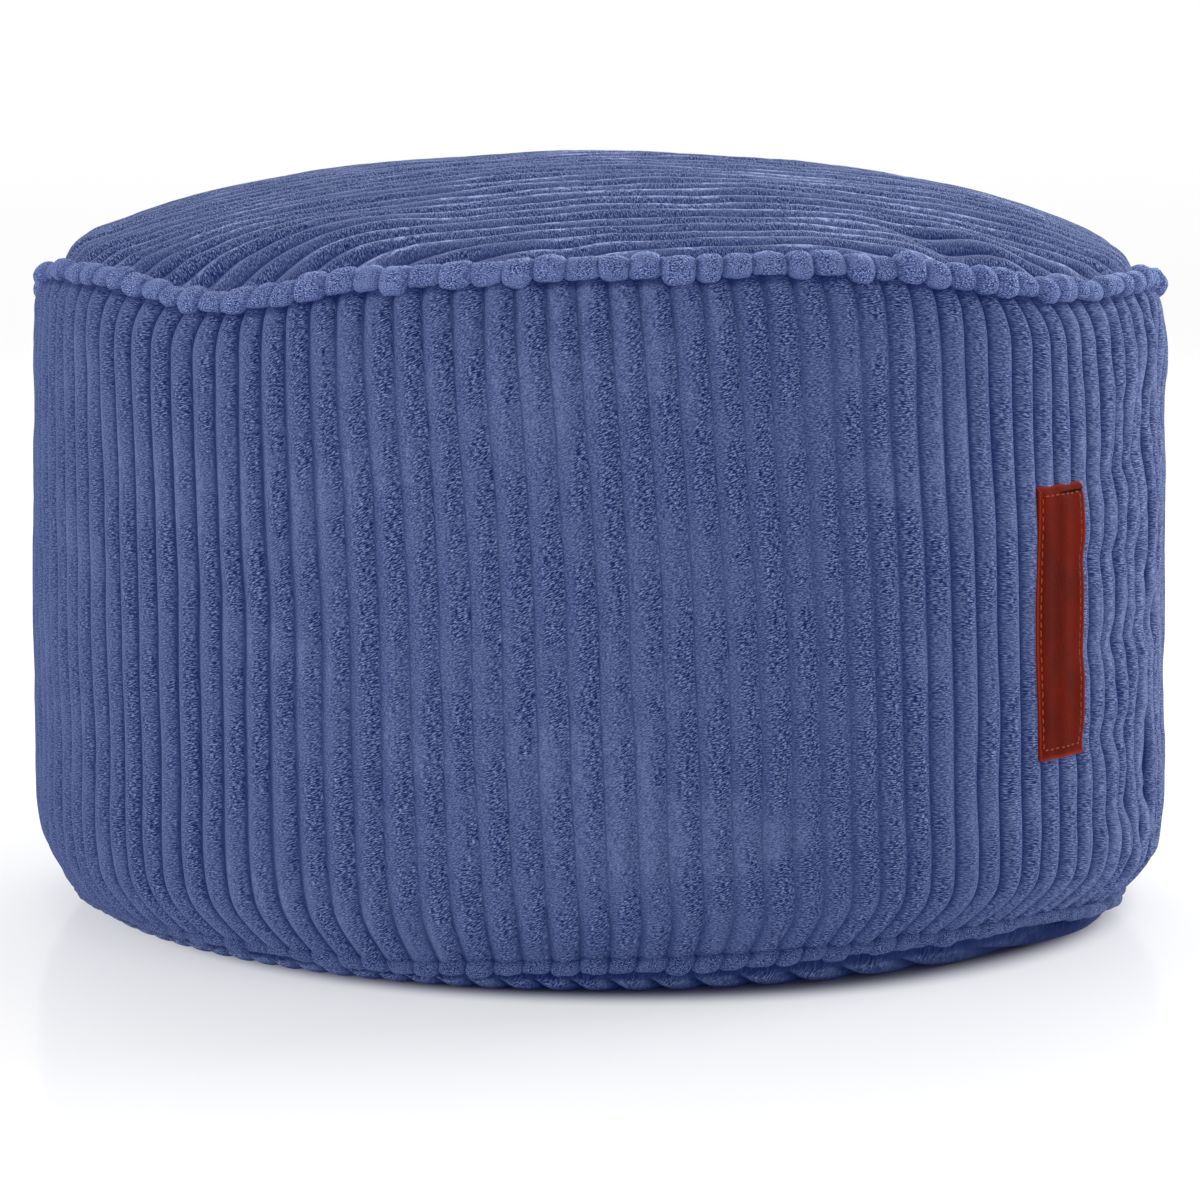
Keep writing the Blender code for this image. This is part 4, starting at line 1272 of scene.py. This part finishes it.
class OBJECT_OT_footstool_piping(bpy.types.Operator):
    """Make the beaded piping in both seams"""
    bl_idname = "object.footstool_piping"
    bl_label = "Piping"
    bl_options = {"REGISTER", "UNDO"}

    def execute(self, context):
        finish = context.scene.footstool_corduroy
        # the top piping's copy of the cloth, much lighter: painted light
        make_top_piping(corduroy("corduroy top piping", finish, tint=1.58))
        make_bottom_piping(corduroy("corduroy bottom piping", finish))
        return {"FINISHED"}


class OBJECT_OT_footstool_label(bpy.types.Operator):
    """Make the leather label and its stitching"""
    bl_idname = "object.footstool_label"
    bl_label = "Label"
    bl_options = {"REGISTER", "UNDO"}

    def execute(self, context):
        finish, shape = context.scene.footstool_label, exact(context.scene.footstool_shape)
        make_label(leather(finish), shape)
        make_stitching(thread(finish), shape)
        return {"FINISHED"}


class OBJECT_OT_footstool_stage(bpy.types.Operator):
    """Make the floor, the lamps and the camera"""
    bl_idname = "object.footstool_stage"
    bl_label = "Stage"
    bl_options = {"REGISTER", "UNDO"}

    def execute(self, context):
        make_stage(context.scene, context.scene.footstool_stage)
        return {"FINISHED"}


# ---------------------------------------------------------------- stage

def area_lamp(name, place, aim, size, power):
    """A square soft white lamp that looks at a point."""
    bpy.ops.object.light_add(type="AREA", location=place)
    lamp = bpy.context.object
    lamp.name = lamp.data.name = name
    lamp.data.size = size
    lamp.data.energy = power
    direction = lamp.location - type(lamp.location)(aim)
    lamp.rotation_euler = direction.to_track_quat("Z", "Y").to_euler()


def make_floor(stage):
    """A pale floor that glows evenly white, and fades round the stool into a painted shadow."""
    bpy.ops.object.select_all(action="DESELECT")
    bpy.ops.mesh.primitive_plane_add(size=60.0)
    floor = bpy.context.object
    floor.name = floor.data.name = "floor"
    material, steps, shader = new_material("floor")
    # the glow fades round the stool into a painted shadow, set a little to the right and front,
    # narrower sideways, tinted by floor_shade
    place = steps.add("ShaderNodeVectorMath", {0: steps.place(), 1: (0.014, -0.004, 0.0)},
                      operation="SUBTRACT").outputs["Vector"]
    place = steps.add("ShaderNodeVectorMath", {0: place, 1: (1.065, 1.0, 1.0)},
                      operation="MULTIPLY").outputs["Vector"]
    reach = steps.add("ShaderNodeVectorMath", {0: place}, operation="LENGTH").outputs["Value"]
    glow = steps.times(steps.span(reach, 0.2140, 0.2440, 0.0, EDGE_GLOW),
                       steps.span(reach, 0.25, 0.45, 1.0, 1.0 / EDGE_GLOW))
    steps.feed(shader, {
        "Base Color": opaque(stage.floor),
        "Emission Color": steps.mix(glow, opaque(stage.floor_shade), WHITE),
        "Emission Strength": steps.times(glow, stage.floor_glow),
        "Specular IOR Level": 0.0,
        "Coat Weight": 1.0,
        "Coat IOR": 1.07,
        "Coat Roughness": 0.13,
    })
    floor.data.materials.append(material)


def make_world(scene, stage):
    """White light from all round, stronger or weaker low down than from the sky."""
    world = bpy.data.worlds.new("white studio")
    scene.world = world
    world.use_nodes = True
    steps = Steps(world.node_tree)
    direction = steps.add("ShaderNodeTexCoord").outputs["Generated"]
    height = steps.add("ShaderNodeSeparateXYZ", {"Vector": direction}).outputs["Z"]
    steps.feed(world.node_tree.nodes["Background"], {
        "Color": WHITE, "Strength": steps.span(height, 0.06, 0.30, stage.horizon, stage.world)})


def make_stage(scene, stage):
    """The floor, soft light from all round and three lamps, and the camera."""
    make_floor(stage)
    make_world(scene, stage)
    area_lamp("lamp overhead", (0.0, 1.4, 1.6), (0.0, 0.0, 0.25), 1.5, stage.overhead)
    area_lamp("lamp left", (-1.9, -0.9, 0.90), (0.0, 0.0, 0.15), 1.2, stage.left)
    area_lamp("lamp right", (1.7, 0.8, 0.85), (0.0, 0.0, 0.15), 1.0, stage.right)
    place = (CAMERA_ASIDE, -stage.camera_distance, stage.camera_height)
    turn = (0.5 * math.pi - stage.camera_pitch, 0.0, 0.0)
    bpy.ops.object.camera_add(location=place, rotation=turn)
    camera = bpy.context.object
    camera.name = camera.data.name = "camera"
    camera.data.lens = stage.lens
    camera.data.sensor_width = FILM_WIDTH
    scene.camera = camera
    scene.view_settings.view_transform = "Standard"
    scene.view_settings.look = "None"


class VIEW3D_PT_footstool(bpy.types.Panel):
    """The footstool's settings and pieces"""
    bl_label = "Footstool"
    bl_idname = "VIEW3D_PT_footstool"
    bl_space_type = "VIEW_3D"
    bl_region_type = "UI"
    bl_category = "Footstool"

    def draw(self, context):
        for holder in SETTINGS:
            box = self.layout.box()
            settings = getattr(context.scene, holder)
            for name in settings.__annotations__:
                box.prop(settings, name)
        for operator in OPERATORS:
            self.layout.operator(operator.bl_idname)


SETTINGS = {
    "footstool_shape": StoolShape,
    "footstool_corduroy": CorduroyFinish,
    "footstool_label": LabelFinish,
    "footstool_stage": StageSettings,
}
OPERATORS = (
    OBJECT_OT_footstool_side,
    OBJECT_OT_footstool_top,
    OBJECT_OT_footstool_bottom,
    OBJECT_OT_footstool_piping,
    OBJECT_OT_footstool_label,
    OBJECT_OT_footstool_stage,
)


def register():
    """Add the settings, the operators and the panel."""
    for group in (*SETTINGS.values(), *OPERATORS, VIEW3D_PT_footstool):
        bpy.utils.register_class(group)
    for name, group in SETTINGS.items():
        setattr(bpy.types.Scene, name, bpy.props.PointerProperty(type=group))


def unregister():
    """Take them away again."""
    for name in SETTINGS:
        delattr(bpy.types.Scene, name)
    for group in (VIEW3D_PT_footstool, *reversed(OPERATORS), *reversed(SETTINGS.values())):
        bpy.utils.unregister_class(group)


def main():
    """Make every piece and the stage."""
    register()
    bpy.ops.object.footstool_side()
    bpy.ops.object.footstool_top()
    bpy.ops.object.footstool_bottom()
    bpy.ops.object.footstool_piping()
    bpy.ops.object.footstool_label()
    bpy.ops.object.footstool_stage()


if __name__ == "__main__":
    main()
